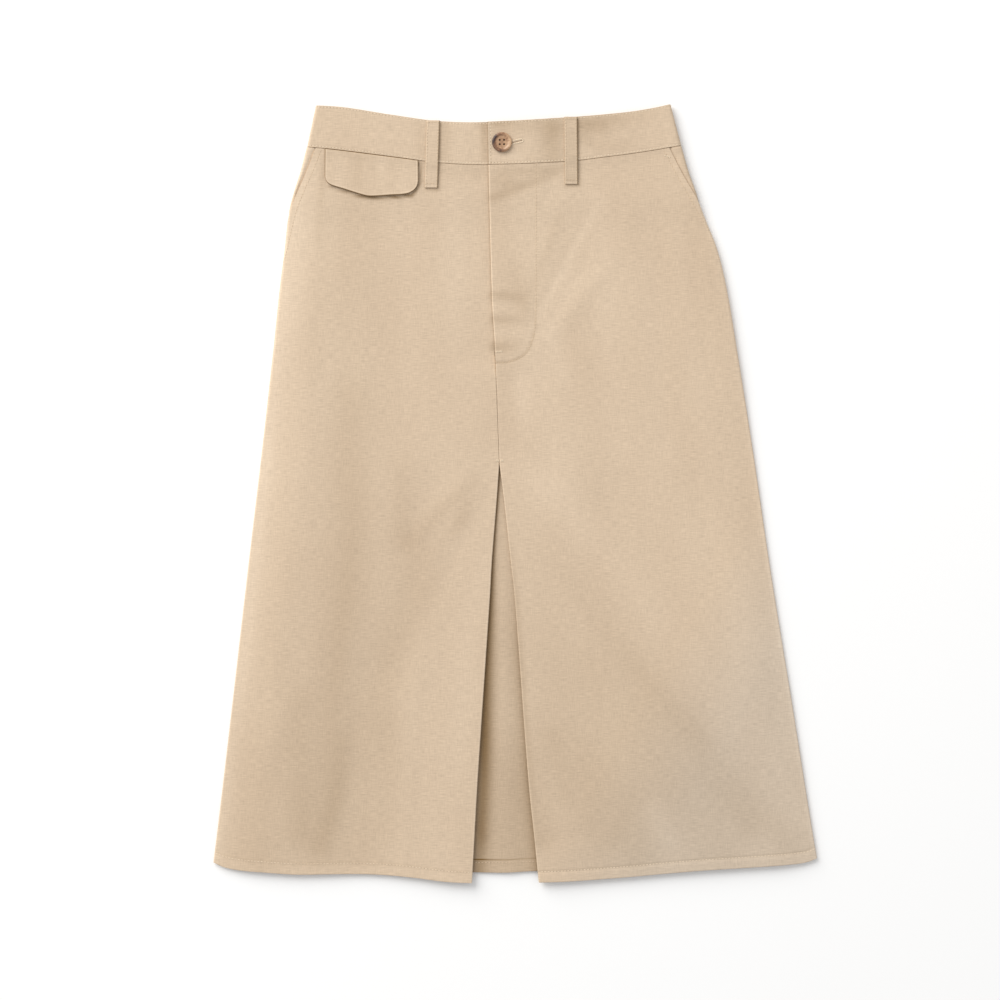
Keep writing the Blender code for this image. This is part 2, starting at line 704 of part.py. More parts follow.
def pocket_flap():
    """Small flap, sewn into the waist seam and loose below."""
    grid = []
    for down in FLAP_ROWS:
        row = []
        for share in FLAP_COLUMNS:
            x = mix(FLAP_LEFT_X, FLAP_RIGHT_X, share)
            y = mix(along(WAIST_SEAM, x) - GAP, along(FLAP_EDGE, share), down)
            z = front_height(-1, x, y) + CLOTH / 2 + GAP + FLAP / 2 + FLAP_OPEN * down * down
            row.append(Vector((x, y, z)))
        grid.append(row)
    return wall("pocket_flap", grid, FLAP)


def fly_zip():
    """Closed zip behind the fly's edge, a plain tape beside the right front's edge."""
    grid = []
    for down in ZIP_ROWS:
        y = mix(ZIP_TOP, ZIP_END, down)
        start = centre_edge(-1, y) + GAP
        z = back_height(start, y) + along(CENTRE_RISE, y, 2)
        grid.append([Vector((start + ZIP_WIDTH * k / ZIP_COLUMNS, y, z)) for k in range(ZIP_COLUMNS + 1)])
    return wall("fly_zip", grid, CLOTH, ZIP_TAPE)


def waist_button():
    """Four-hole button with a raised rim and a dished middle, turned about its own axis."""
    place = Vector((BUTTON_X, BUTTON_Y, face_height(BUTTON_X, BUTTON_Y) + GAP)) * MM
    height = max(z for _, z in BUTTON_PROFILE)

    def turned(mesh):
        points = [mesh.verts.new((BUTTON_WIDTH / 2 * share, 0.0, z)) for share, z in BUTTON_PROFILE]
        edges = [mesh.edges.new(pair) for pair in zip(points, points[1:])]
        bmesh.ops.spin(
            mesh, geom=points + edges, axis=(0, 0, 1), cent=(0, 0, 0), angle=math.tau, steps=BUTTON_STEPS
        )
        bmesh.ops.remove_doubles(mesh, verts=mesh.verts, dist=0.001)

    def pin(mesh):
        bmesh.ops.create_cone(
            mesh,
            cap_ends=True,
            segments=BUTTON_HOLE_SIDES,
            radius1=BUTTON_HOLE / 2,
            radius2=BUTTON_HOLE / 2,
            depth=4 * height,
        )

    made = add_object("waist_button", turned, HORN)
    made.location = place
    corners = [(x, y) for x in (-0.5, 0.5) for y in (-0.5, 0.5)]
    for number, (x, y) in enumerate(corners, 1):
        cutter = add_object(f"button_hole_cutter_{number}", pin, HORN)
        cutter.location = place + Vector((x, y, 0.0)) * BUTTON_HOLE_PITCH * MM
        cutter.hide_render = True
        cutter.display_type = "WIRE"
        drill = made.modifiers.new(f"hole_{number}", "BOOLEAN")
        drill.operation = "DIFFERENCE"
        drill.solver = "EXACT"
        drill.object = cutter
    return made


def main():
    for obj in list(bpy.data.objects):
        bpy.data.objects.remove(obj)
    back_panel()
    front_panel("front_panel_right", -1)
    front_panel("front_panel_left", 1)
    pleat_underlay()
    pocket_facing("pocket_facing_right", -1)
    pocket_facing("pocket_facing_left", 1)
    waistband()
    pocket_flap()
    for name, (top_x, bottom_x) in FRONT_LOOPS.items():
        front_loop(name, top_x, bottom_x)
    for name, x in BACK_LOOPS.items():
        back_loop(name, x)
    fly_zip()
    waist_button()


main()
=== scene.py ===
"""Looks of a canvas skirt with an inverted box pleat, laid flat on its back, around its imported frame.

The waist points to +Y, the floor is z = 0 and the front faces up. Right and left are the wearer's: the right
is at -X and is side -1, the left is side 1. Shapes are worked out in millimetres. Each piece of cloth is a
thin wall on the form of its solid, on a fine grid that also carries its creases and puckers.
"""

import math

import bmesh
import bpy
import numpy as np
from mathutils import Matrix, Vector
from mathutils.bvhtree import BVHTree


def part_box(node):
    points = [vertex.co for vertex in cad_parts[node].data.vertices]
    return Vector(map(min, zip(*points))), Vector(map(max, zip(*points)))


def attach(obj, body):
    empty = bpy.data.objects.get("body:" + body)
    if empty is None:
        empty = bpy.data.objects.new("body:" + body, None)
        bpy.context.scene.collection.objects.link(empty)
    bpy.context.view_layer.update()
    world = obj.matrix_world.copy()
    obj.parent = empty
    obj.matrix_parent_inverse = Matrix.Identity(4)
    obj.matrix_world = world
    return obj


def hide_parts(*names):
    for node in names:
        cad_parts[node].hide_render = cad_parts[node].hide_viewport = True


bl_info = {
    "name": "Laid-flat box pleated skirt",
    "version": (1, 0, 0),
    "blender": (4, 5, 0),
    "location": "View3D > Sidebar > Skirt",
    "description": "Builds the cloth, stitching, button and stage of a skirt around its packed frame",
    "category": "Object",
}

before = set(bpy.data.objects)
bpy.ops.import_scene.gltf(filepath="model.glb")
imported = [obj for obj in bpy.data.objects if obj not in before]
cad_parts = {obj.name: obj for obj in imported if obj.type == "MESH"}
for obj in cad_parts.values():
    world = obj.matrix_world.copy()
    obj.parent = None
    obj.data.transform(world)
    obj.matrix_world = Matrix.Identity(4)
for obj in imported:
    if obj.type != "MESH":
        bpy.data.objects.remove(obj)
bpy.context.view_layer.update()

MM = 0.001

# Cloth and layers, in mm, as in the solids
CLOTH = 1.0
BAND = 2.0
FLAP = 1.4
GAP = 0.3  # between layers that lie on each other
SEAM_GAP = 0.05  # between pieces of cloth that are sewn edge to edge
LAYER = CLOTH + GAP
SEAM_UNDER = 12.0  # distance of the side seams behind the side folds
LOOP_LIFT = 1.3  # how far the loops at the back hold the waist off the floor
LOOP_RISE = (250.0, 286.0)  # y over which the back rises to that
SEAM_STEP = 9.0  # distance below the waist seam where the cloth starts to meet the band's middle
FRONT_OVER_WAIST = 3.3  # height of the front's middle over the back's, at the waist
FRONT_OVER_BODY = 4.0  # and below it
WAIST_FALL = (255.0, 313.0)  # y over which one changes to the other
FOLD_RADIUS = 0.65
SIDE_SOFTNESS = 40.0  # width over which the front comes down to the side fold
FOLDS_FADE = (270.0, 310.0)  # y over which the soft folds die away
UNDER_REACH = 8.0  # how far the right front goes on under the fly
FLAT_MARGIN = 2.0
FLY_TURN = 6.0
UNDER_REACH_ENDS = (132.0, 152.0)  # y over which that starts
FLY_FLAT_ENDS = (122.0, 185.0)
PLEAT_TOP = 27.3  # y where the pleat opens
RETURN_TOP = 10.0  # depth of the pleat's returns at their tops
RETURN_FULL = 52.0  # and below the slant
RETURN_SLANT = 90.0  # height of that slant
RETURN_HEM_RISE = 8.0  # how much higher a return's hem ends inside than at its fold
RETURN_HEM_FROM = (-300.0, -369.0)  # y over which that sets in
RETURN_FALL = 0.8  # share of a return's width over which it comes down to the underlay
PLEAT_CLEAR_BELOW = 60.0  # y below which no fold sinks on to the returns
PLEAT_CLEARANCE = 22.0  # width beyond the returns over which folds may sink again
UNDERLAY_LEVEL = CLOTH * 1.5 + GAP
PLEAT_SEAM = 1.2
CENTRE_SOFTNESS = 60.0  # width over which the front comes down to its centre edge
UNDERLAP = 34.0  # length of the waistband's end under its buttoned end
LOOP_WIDTH = 12.4
LOOP_CLOTH = 1.0
LOOP_LENGTH = 64.0
LOOP_BOW = 0.4  # how far a loop stands off in the middle
BUTTON_X = -13.4
BUTTON_Y = 333.4
ZIP_WIDTH = 14.0
ZIP_TOP = 306.0
ZIP_END = 156.0
SEAM_CENTRE_Y = 313.0
SEAM_SIDE_Y = 331.0
FRONTS = {-1: "front_panel_right", 1: "front_panel_left"}
FACINGS = {-1: "pocket_facing_right", 1: "pocket_facing_left"}
FRONT_LOOPS = {"belt_loop_front_right": (-78.6, -80.6), "belt_loop_front_left": (52.0, 52.6)}
BACK_LOOPS = {"belt_loop_back_right": -122.0, "belt_loop_back_centre": -21.0, "belt_loop_back_left": 82.0}
COLUMN = {-1: 1, 1: 2}  # column of a table that holds each side's values
LOOP_ROWS = (0.0, 0.06, 0.2, 0.4, 0.6, 0.75, 0.88, 0.95, 1.0)  # shares of a front loop's length
LOOP_STITCH = 1.3  # distance of the loops' stitching from their edges
LOOP_END_STITCH = 3.8  # and from their lower ends
BUTTON_HOLE = 1.9  # width of one of its four holes
BUTTON_HOLE_PITCH = 4.1  # distance between two of them
BUTTON_SIDES = 64
BUTTON_DRILL = 20.0  # length of the pins that cut its holes
BUTTON_CREASE = 35.0  # degrees at which its edges stay sharp
KNOT_RADIUS = 0.47  # radius of the thread in a hole, as a share of the hole's width
KNOT_FLATNESS = 0.35
KNOT_RISE = 0.2  # its height, as a share of the button's
FLAP_LEFT_X = -181.6
FLAP_RIGHT_X = -92.6
FLAP_OPEN = 0.4  # how far the flap's lower edge stands off
FLAP_DIM = 0.04  # how much darker than the front it is
BAND_STITCH = 1.6  # distance of the waistband's stitching from its long edges
BAND_END_STITCH = 2.6  # and from its buttoned end
UNDERLAY_RIPPLE = 0.5  # height of the soft upright ridge down the underlay
SEAM_ROUND = 0.06  # width that the cloth rounds over in at the closed centre seam
FINE_WIDTH = 14.0  # width of the finer columns beside the centre front
COARSE_COLUMNS = 76
FINE_COLUMNS = 25
FINE_CROWDING = 1.4  # how much closer the finer columns come towards the edge
SEAM_ENDS = ((PLEAT_TOP - 2.0, PLEAT_TOP + 5.0), (140.0, 128.0))  # y over which the centre seam closes
INSIDE_FOLD = (2.0, 5.0)  # columns past the face over which the light falls off inside a fold
FOLD_SHADE = 0.4  # how much of its lightness the cloth keeps there, as painted shade
SEAM_LIGHT = 1.2  # and at the closed centre seam, as painted light
EDGE_LINE = 0.35  # depth of the painted dark hairline along an edge
EDGE_RIDGE = 0.13  # how much lighter the painted highlight on the ridge beside it is
BAND_EDGE_SHADE, FLAP_SIDE_SHADE, LOOP_SIDE_SHADE = 0.75, 0.1, 0.8  # how much of its lightness each one's cut side keeps, as painted shade
FACING_SHADE = {-1: 1.12, 1: 0.97}  # how light the pockets' facings are painted, as painted light and shade
SHADE_WARMTH = (0.13, 0.02, -0.14)  # red, green and blue that the painted shade keeps as it deepens
LEFT_LOOP_SHADE = 0.1  # how much darker the left front loop is
PAINTED_COOL_LIGHT = (0.94, 0.985, 1.05)  # painted cooler light: red, green and blue that the colour keeps at the hem's left corner
TO_PAINTED_COOL_LIGHT = (1.0, -0.6, 0.0)  # the way to that corner
PAINTED_COOL_LIGHT_FROM = (0.24, 0.34)  # distance that way, in metres, over which it sets in
NEEDLE_HOLE_SHADE = 0.55  # width of the dark blob in the dimple between two stitches, painted shade of the needle hole
SUNK_STITCH = 0.02  # height of a stitch's middle over the cloth
HOLE_HEIGHT = 0.25  # and its height
THREAD_HEIGHT = 0.4  # height of a stitch
SKY = 60.0  # height that lines are laid on to the cloth from

# Canvas, thread and horn, in mm where they are lengths
YARN_LENGTH = 11.0  # how far a yarn shows, in pitches of the weave
SLUB_WIDTH, SLUB_LENGTH = 2.4, 40.0  # the same of its thick stretches
SLUB_SOFTNESS = 0.4  # roughness of their noise
PATCH = 20.0  # size of the patches where warp or weft stands out
CLOUD = (70.0, 160.0)  # size of the clouds in the dye
WARP_SHARE = (0.35, 0.85)  # least and most share of the weft in the weave
WEAVE_HEIGHT = 0.4  # height of the yarns, before the strength that the settings give
THREAD_PLY = 1.0 / 0.9  # length of a turn of the thread's plies
HORN_MOTTLE = 1.0 / 0.23  # size of the horn's mottling
HORN_LEAN = (62.0, 0.30)  # how fast the brown pales across the rim, and its level in the middle
HORN_RIM = (5.2, 7.2)  # radius over which the middle's even brown gives way to the rim's
HORN_EVEN = 0.52  # that middle's place between the dark and the light
HORN_MIDDLE = 0.42  # place of the middle brown between the dark and the light

# Stage, in metres and degrees
FLOOR_Z = -0.0008
WINDOW_AZIMUTH = 132.0
WINDOW_HEIGHT = 31.0
WINDOW_DISTANCE = 6.0
WINDOW_SIZE = 5.4
SENSOR = 36.0
CAMERA_HEIGHT = 2.5
MID_THICKNESS = 0.005
VIEW_WIDTH = 0.95
VIEW_CENTRE = (-0.0152, -0.0059)
VIEW_CLIP = (0.01, 50.0)
FLOOR_REACH = 6.0

# Outline of the skirt on the floor: y, right side, left side
OUTLINE = (
    (331.0, -198.4, 157.0), (307.0, -204.6, 163.8), (288.0, -210.6, 170.6), (268.0, -215.8, 177.2),
    (232.0, -220.0, 191.4), (194.0, -224.8, 200.6), (142.0, -230.2, 209.4), (42.0, -241.5, 225.2),
    (-72.0, -255.0, 242.0), (-205.0, -270.4, 263.6), (-300.0, -281.6, 278.6), (-352.0, -288.0, 287.2),
)
# Waist seam and top edge of the waistband: x, y
WAIST_SEAM = (
    (-198.4, 329.4), (-180.0, 327.8), (-151.0, 324.4), (-115.0, 319.8), (-73.0, 314.4), (-27.0, 312.6),
    (46.0, 315.4), (89.0, 320.4), (120.0, 324.6), (157.0, 330.8),
)
WAIST_TOP = (
    (-190.0, 368.9), (-164.0, 367.2), (-118.0, 360.0), (-73.0, 354.0), (-27.0, 353.2), (46.0, 357.4),
    (104.0, 362.4), (130.0, 366.4), (146.8, 370.1),
)
# Hems by share of the way from the centre front to the side: share, right front, left front
FRONT_HEM = (
    (0.0, -369.8, -369.4), (0.10, -368.7, -368.5), (0.22, -365.0, -366.4), (0.34, -362.4, -363.9),
    (0.45, -361.5, -361.2), (0.57, -361.7, -358.5), (0.68, -361.9, -356.6), (0.80, -360.0, -354.6),
    (0.90, -357.9, -352.6), (0.96, -355.0, -350.6), (1.0, -350.6, -346.8),
)
# Hems by share of the way across, from -X to +X: share, y
BACK_HEM = (
    (0.0, -351.5), (0.08, -354.0), (0.3, -355.6), (0.5, -356.0), (0.7, -354.6), (0.92, -350.6),
    (1.0, -348.0),
)
UNDERLAY_HEM = ((0.0, -361.4), (0.3, -360.0), (0.5, -360.3), (0.7, -358.8), (1.0, -361.0))
HEM_BAND = 11.8
HEM_BAND_RISE = 0.6
# Centre front edge on the skirt's face, down to the pleat's top: y, x
FLY_EDGE = ((372.0, -27.4), (313.0, -26.2), (184.0, -22.8), (135.0, -19.8), (PLEAT_TOP, -15.6))
# The pleat's two outer folds: y, right front's fold, left front's fold
PLEAT_EDGES = (
    (PLEAT_TOP, -15.9, -15.6), (-10.0, -18.6, -11.0), (-63.0, -22.8, -5.3), (-100.0, -24.9, -1.2),
    (-272.0, -36.4, 11.7), (-335.0, -39.9, 18.2), (-370.0, -41.9, 21.7),
)
# Radius of the side fold, at the middle of the cloth: y, radius
SIDE_FOLD = ((-360.0, 1.0), (40.0, 1.0), (120.0, 1.95), (305.0, 1.95), (331.0, 1.7), (372.0, 1.7))
# Slant of each pocket mouth: distance along the cloth from the side fold at the waist, and its change per mm
POCKET_MOUTH = {-1: (-9.0, 0.120), 1: (-12.0, 0.200)}
POCKET_INSIDE = 20.0
POCKET_STITCH = 5.7  # distance of the pocket mouths' stitching from their edges
POCKET_STITCH_END = {-1: 0.16, 1: 0.13}  # how far down it shows, as a share of the front
FACING_END = 0.3
FACING_STEP = (2.6, 0.6)
# Height of the centre front edge above the middle of the back cloth: y, right front, left front
CENTRE_RISE = (
    (372.0, 2.7, 5.4), (150.0, 2.7, 5.4), (130.0, 2.7, 5.4), (108.0, 4.1, 4.1), (PLEAT_TOP, 4.1, 4.1),
    (-60.0, 4.6, 4.4), (-200.0, 5.4, 4.8), (-370.0, 5.9, 4.9),
)
# Strokes: name, half width, and points with what the stroke adds there. The large folds, as in the solids
FOLDS = (
    ("right side swell", 30.0, (-203.0, 190.0, 0.9), (-226.0, -320.0, 0.9)),
    ("right valley, upper", 26.0, (-80.0, 0.0, -0.9), (-128.0, -170.0, -0.9)),
    ("right valley, lower", 32.0, (-128.0, -170.0, -1.7), (-142.0, -345.0, -1.7)),
    ("left ridge from the pleat's top", 26.0, (4.0, -10.0, 0.9), (178.0, -330.0, 0.9)),
    ("left valley beside it", 30.0, (92.0, -10.0, -1.2), (244.0, -290.0, -1.2)),
    ("drag line to the fly", 9.0, (76.0, 205.0, 0.6), (14.0, 138.0, 0.6)),
    ("right hip hollow", 34.0, (-120.0, 190.0, -0.6), (-118.0, 60.0, -0.6)),
)
# Smaller creases and ripples that only the cloth carries
CREASES = (
    ("valley one, lip", 11, (-184, -63, -0.05), (-200, -196, 0.15), (-211, -324, 0.05)),
    ("valley one, far lip", 11, (-135, -63, -0.20), (-148, -196, -0.20), (-160, -324, -0.40)),
    ("valley one, nick", 7, (-152, -224, -0.15), (-158, -281, -0.25)),
    ("valley two, lip", 10, (-48, 15, 0.40), (-82, -25, 0.55), (-124, -120, 0.00)),
    ("valley two, bank", 10, (-27, -6, -0.40), (-82, -101, -0.35), (-99, -158, -0.15)),
    ("valley two, foot", 10, (-99, -158, 0.15), (-122, -329, 0.05)),
    ("pleat side, ridge", 10, (-48, -91, 0.00), (-65, -196, 0.15), (-72, -272, 0.00)),
    ("pleat side, ridge low", 9, (-46, -196, -0.15), (-53, -262, 0.05), (-58, -338, 0.05)),
    ("pleat side, trough", 9, (-84, -186, -0.35), (-91, -262, -0.40), (-94, -338, -0.15)),
    ("lower slant 1", 9, (-236, -101, 0.20), (-251, -177, 0.20)),
    ("lower slant 4", 9, (-215, -196, 0.25), (-241, -262, 0.20)),
    ("hip press 1", 8, (-162, 265, -0.15), (-162, 61, -0.05)),
    ("hip press 2", 7, (-142, 268, 0.05), (-146, 89, 0.20)),
    ("hip press 4", 8, (-101, 273, -0.25), (-105, 203, -0.05), (-110, 118, -0.05)),
    ("hip press 6", 8, (-46, 270, -0.15), (-44, 61, 0.00)),
    ("hip press 7", 8, (-177, 260, -0.25), (-192, 61, 0.05)),
    ("near side 1", 8, (-205, 61, -0.20), (-215, -44, -0.15)),
    ("pull, bank", 10, (15, -63, 0.05), (70, -139, 0.20), (228, -338, -0.15)),
    ("kink, foot", 7, (89, -339, 0.05), (137, -337, -0.05), (175, -348, -0.20)),
    ("foot fold", 9, (42, -291, -0.20), (94, -329, 0.00)),
    ("foot fold 2", 8, (28, -331, -0.40), (80, -319, -0.25)),
    ("left press 1", 9, (108, 265, 0.20), (118, 42, 0.05)),
    ("left press 2", 9, (133, 265, -0.20), (137, 165, -0.40), (142, 42, -0.35)),
    ("left press 3", 9, (156, 251, 0.20), (163, 146, 0.25), (173, 42, 0.20)),
    ("left press 4", 8, (180, 227, 0.25), (190, 146, 0.25), (203, 42, 0.05)),
    ("left press 5", 8, (200, 156, 0.25), (215, 32, 0.25)),
    ("left press 6", 10, (99, 23, 0.15), (127, -101, 0.15)),
    ("left press 8", 10, (170, 13, -0.20), (201, -139, -0.15)),
    ("left press 9", 10, (211, 13, 0.35), (243, -196, 0.15)),
    ("drag, crest", 7, (91, 279, -0.05), (63, 214, -0.15), (28, 156, -0.45)),
    ("drag, hollow", 7, (72, 274, -0.15), (56, 236, -0.15), (38, 203, -0.35), (19, 167, -0.40)),
    ("drag, far hollow", 8, (108, 265, 0.15), (95, 227, 0.20), (76, 194, 0.15), (55, 165, 0.35)),
    ("drag 2, crest", 6, (48, 283, 0.05), (38, 254, 0.25), (25, 226, 0.25)),
    ("drag 2, hollow", 6, (34, 287, -0.25), (11, 232, -0.05)),
    ("under band, hollow", 6, (-21, 281, -0.05), (34, 300, -0.25)),
    ("under band, ridge", 6, (-19, 266, -0.05), (8, 273, -0.25), (30, 285, -0.35)),
    ("fly ripple 2", 4, (-22, 194, 0.20), (5, 193, 0.20)),
    ("fly ripple 3", 4, (-22, 182, -0.15), (5, 181, -0.20)),
    ("fly ripple 4", 4, (-21, 172, 0.20), (4, 171, 0.20)),
    ("fly ripple 5", 4, (-21, 161, -0.20), (4, 159, -0.25)),
    ("fly ripple 6", 4, (-20, 147, 0.15), (1, 145, 0.20)),
    ("under curve", 7, (-13, 114, 0.25), (38, 126, 0.05)),
)
# Painted light and shade on the fronts' folds, with painted shadows, and the change of lightness there
PAINTED_SHADING = (
    ("valley one", 21, (-160, 89, -0.06), (-158, -44, -0.09), (-188, -334, -0.11)),
    ("valley one, core", 9, (-156, -44, -0.02), (-163, -110, -0.03), (-188, -334, -0.01)),
    ("valley one, nick", 8, (-156, -196, -0.01), (-163, -281, -0.02), (-173, -315, -0.02)),
    ("valley two", 12, (-23, 11, 0.00), (-66, -38, -0.03), (-120, -158, -0.01)),
    ("between the valleys", 25, (-93, -63, -0.06), (-129, -196, -0.10), (-142, -262, -0.10),
     (-150, -334, -0.07)),
    ("pleat side glow", 14, (-28, -63, 0.04), (-44, -139, 0.04), (-63, -281, 0.01), (-65, -338, 0.01)),
    ("side glow", 12, (-188, 312, 0.04), (-203, 274, 0.07), (-215, 194, 0.11), (-226, 108, 0.13),
     (-262, -177, 0.06), (-273, -272, 0.05), (-280, -343, 0.02)),
    ("side field", 21, (-184, 89, 0.02), (-205, -25, 0.01), (-224, -139, -0.02), (-255, -338, -0.03)),
    ("right hip dim", 12, (-158, 273, -0.01), (-156, 70, -0.02)),
    ("right hip glow", 15, (-108, 268, 0.03), (-99, 42, 0.01)),
    ("right middle", 15, (-58, 270, 0.05), (-51, 42, 0.01)),
    ("left valley, edge", 14, (-8, -6, 0.00), (72, -112, -0.03), (118, -166, -0.07), (262, -337, -0.05)),
    ("left valley", 28, (11, -63, -0.01), (47, -139, -0.03), (91, -207, -0.08), (142, -274, -0.09),
     (189, -338, -0.06)),
    ("left field", 28, (23, -139, -0.02), (61, -272, -0.07), (80, -338, -0.05)),
    ("above the valley", 17, (-4, 30, 0.05), (42, -8, 0.06), (186, -179, 0.02), (273, -305, 0.02)),
    ("left outer field", 28, (118, 23, 0.03), (165, -53, 0.02), (211, -129, 0.04), (249, -229, 0.02)),
    ("left side", 10, (167, 268, -0.02), (209, 141, -0.02), (237, -34, 0.01), (276, -291, 0.00)),
    ("left hip glow", 15, (78, 274, 0.04), (91, 122, 0.04), (99, 46, 0.02)),
    ("left hip dim", 10, (125, 274, 0.02), (131, 122, 0.03), (137, 46, 0.02)),
    ("left hip streak", 10, (152, 255, 0.02), (162, 184, 0.03), (180, 32, 0.02)),
    ("below the fly", 19, (18, 113, 0.05), (44, 13, 0.04)),
    ("fly field", 10, (-13, 281, -0.03), (-12, 232, -0.02), (-10, 184, -0.03), (-8, 141, -0.02)),
    ("beside the fly", 13, (18, 274, -0.01), (18, 232, 0.00), (18, 184, -0.02)),
    ("under the band", 6, (-21, 285, -0.04), (17, 298, -0.05), (35, 305, -0.04)),
    ("under the band, fold", 5, (-22, 281, -0.16), (-4, 287, -0.14), (16, 295, -0.12), (38, 303, -0.06)),
    ("fly ripple, upper", 4, (-23, 189, -0.14), (-8, 188, -0.12), (6, 186, -0.03)),
    ("fly ripple, middle", 4, (-22, 166, -0.14), (-8, 165, -0.09), (4, 166, -0.03)),
    ("fly ripple, lower", 5, (-21, 140, -0.20), (-10, 139, -0.13), (2, 141, -0.03)),
    ("fly ripple, glow", 4, (-20, 178, 0.04), (2, 176, 0.03)),
    ("fly ripple, glow low", 4, (-19, 153, 0.05), (2, 153, 0.03)),
    ("drag ridge", 4, (82, 280, 0.03), (64, 250, 0.05), (46, 214, 0.06), (28, 182, 0.05), (12, 150, 0.03)),
    ("drag shadow", 5, (40, 262, -0.05), (30, 232, -0.05), (20, 206, -0.04), (6, 178, -0.03)),
    ("left edge light", 6, (-200, 318, 0.09), (-218, 230, 0.11), (-236, 60, 0.11), (-258, -140, 0.09),
     (-284, -345, 0.07)),
    ("right edge light", 12, (186, 250, 0.02), (214, 100, 0.04), (232, -10, 0.04), (258, -180, 0.03)),
    ("right middle light", 20, (180, 100, 0.02), (206, -30, 0.03), (232, -140, 0.03)),
    ("right hip field", 35, (-150, 290, -0.03), (-150, -100, -0.03)),
    ("right hip, outer light", 12, (-205, 260, 0.03), (-208, 20, 0.03)),
    ("beside the fly's foot", 14, (52, 200, 0.05), (34, 158, 0.06), (20, 128, 0.03)),
    ("beside the left pleat fold", 4, (-8, -40, -0.04), (-5, -62, -0.09), (0, -101, -0.13), (2, -139, -0.14),
     (6, -177, -0.15), (10.5, -234, -0.13), (16, -291, -0.09), (20, -330, -0.06)),
    ("beside the flap", 3.5, (-184, 316, -0.1), (-184, 296, -0.12), (-186, 270, -0.05), (-188, 240, -0.03)),
    ("beyond the fly's foot, light", 10, (34, 150, 0.05), (44, 112, 0.06)),
    ("beside the seam, light", 8, (4, 112, 0.05), (6, 84, 0.08), (8, 60, 0.03)),
    ("fly, between the ripples", 8, (0, 212, -0.04), (4, 184, -0.1), (8, 166, -0.04)),
    ("valley two, middle", 7, (-46, -8, -0.04), (-52, -26, -0.09), (-62, -44, -0.02)),
    ("right field, low", 12, (-110, 30, -0.03), (-108, -40, -0.06)),
    ("left valley, inner", 10, (35, -230, -0.06), (45, -290, -0.04)),
    ("right foot, all", 45, (-215, -170, -0.03), (-225, -260, -0.05), (-235, -345, -0.06)),
    ("valley one, low", 9, (-166, -235, -0.05), (-172, -290, -0.1), (-184, -335, -0.06)),
    ("left foot, middle", 22, (85, -250, -0.03), (108, -300, -0.09), (118, -345, -0.13)),
    ("beyond valley one", 14, (-205, -190, -0.03), (-212, -240, -0.04)),
    ("fly's top under the band", 5, (-14, 305, -0.1), (10, 306, -0.13), (34, 308, -0.11), (50, 309, -0.07)),
    ("fly's top, left of the edge", 6, (-20, 297, -0.1), (-8, 296, -0.15), (3, 296, -0.06)),
    ("left pleat edge dim", 11, (18, -210, -0.03), (26, -330, -0.10)),
    ("left field, foot", 24, (60, -240, -0.03), (80, -320, -0.05)),
    ("left valley, upper bank", 20, (90, -160, -0.03), (130, -205, -0.06), (165, -240, -0.05)),
    ("left valley, lower bank", 15, (180, -268, -0.06), (222, -315, -0.09)),
    ("right foot, outer", 14, (-203, -200, -0.04), (-208, -320, -0.07)),
    ("right foot, inner", 12, (-118, -215, -0.04), (-122, -320, -0.05)),
    ("valley two, upper lip", 8, (-40, 12, -0.04), (-70, -14, -0.07), (-102, -48, -0.05)),
    ("valley two, lower lip", 8, (-50, -36, 0.03), (-86, -78, 0.03)),
    ("right front under the band", 6, (-72, 304, -0.04), (-30, 304, -0.06)),
    ("flap's shadow", 1.5, (-178, 292.6, -0.2), (-144, 281.6, -0.6), (-118, 281.6, -0.65), (-98, 283.6, -0.6),
     (-90.6, 296, -0.4), (-90.6, 318, -0.3)),
    ("right loop's shadow", 1.8, (-73, 316, -0.25), (-74, 289, -0.25), (-86, 289, -0.15)),
    ("left loop's shadow", 1.8, (59, 316, -0.25), (60, 293, -0.25), (47, 293, -0.15)),
    ("kink, light side", 8, (132, -300, 0.04), (146, -330, 0.04)),
    ("kink, dark side", 9, (118, -281, -0.02), (91, -329, -0.02)),
)
BAND_CREASES = (
    ("pull to the right loop", 4, (-140, 339, 0.05), (-112, 336, 0.2), (-88, 331, 0.1)),
    ("hollow above it", 5, (-136, 346, -0.1), (-90, 338, -0.15)),
    ("beside the buttonhole", 7, (24, 359, -0.25), (27, 330, -0.35)),
    ("beside the left loop", 8, (72, 362, -0.15), (75, 328, -0.2)),
    ("under the button", 6, (-20, 321, -0.1), (0, 320, -0.2), (14, 321, -0.1)),
    ("right of the overlap", 6, (-34, 352, -0.2), (-38, 320, -0.2)),
)
# Painted light and shade on the waistband, with painted shadows of the loops
BAND_PAINTED_SHADING = (
    ("between the button and the loop", 9, (34, 357, -0.12), (31, 340, -0.19), (29, 320, -0.11)),
    ("beyond the left loop", 9, (64, 352, -0.18), (80, 353, -0.17), (104, 357, -0.09), (126, 362, -0.03)),
    ("below it", 6, (63, 336, -0.09), (80, 330, -0.07), (110, 331, -0.04)),
    ("right loop's shadow", 1.5, (-72, 352, -0.3), (-73, 318, -0.3)),
    ("left loop's shadow", 1.5, (58.5, 355, -0.3), (59, 318, -0.3)),
    ("buttoned end, upper half", 9, (-26, 352, -0.1), (30, 350, -0.1), (80, 346, -0.08)),
    ("before the left loop", 7, (40, 346, -0.08), (38, 316, -0.14)),
    ("over the button", 5, (-18, 352, -0.12), (-6, 354, -0.07)),
    ("under the button", 4, (-22, 319, 0.06), (-2, 321, 0.1), (14, 319, -0.05)),
    ("beside the overlap", 3.5, (-31, 352, -0.2), (-30, 318, -0.14)),
    ("beside the right loop", 5, (-66, 350, -0.09), (-68, 320, -0.08)),
    ("before the right loop", 5, (-90, 350, -0.04), (-92, 324, -0.07)),
)
FLAP_CREASES = (
    ("middle", 7, (-137, 320, -0.1), (-134, 288, -0.2)),
    ("swell", 8, (-120, 318, 0.15), (-118, 290, 0.2)),
)
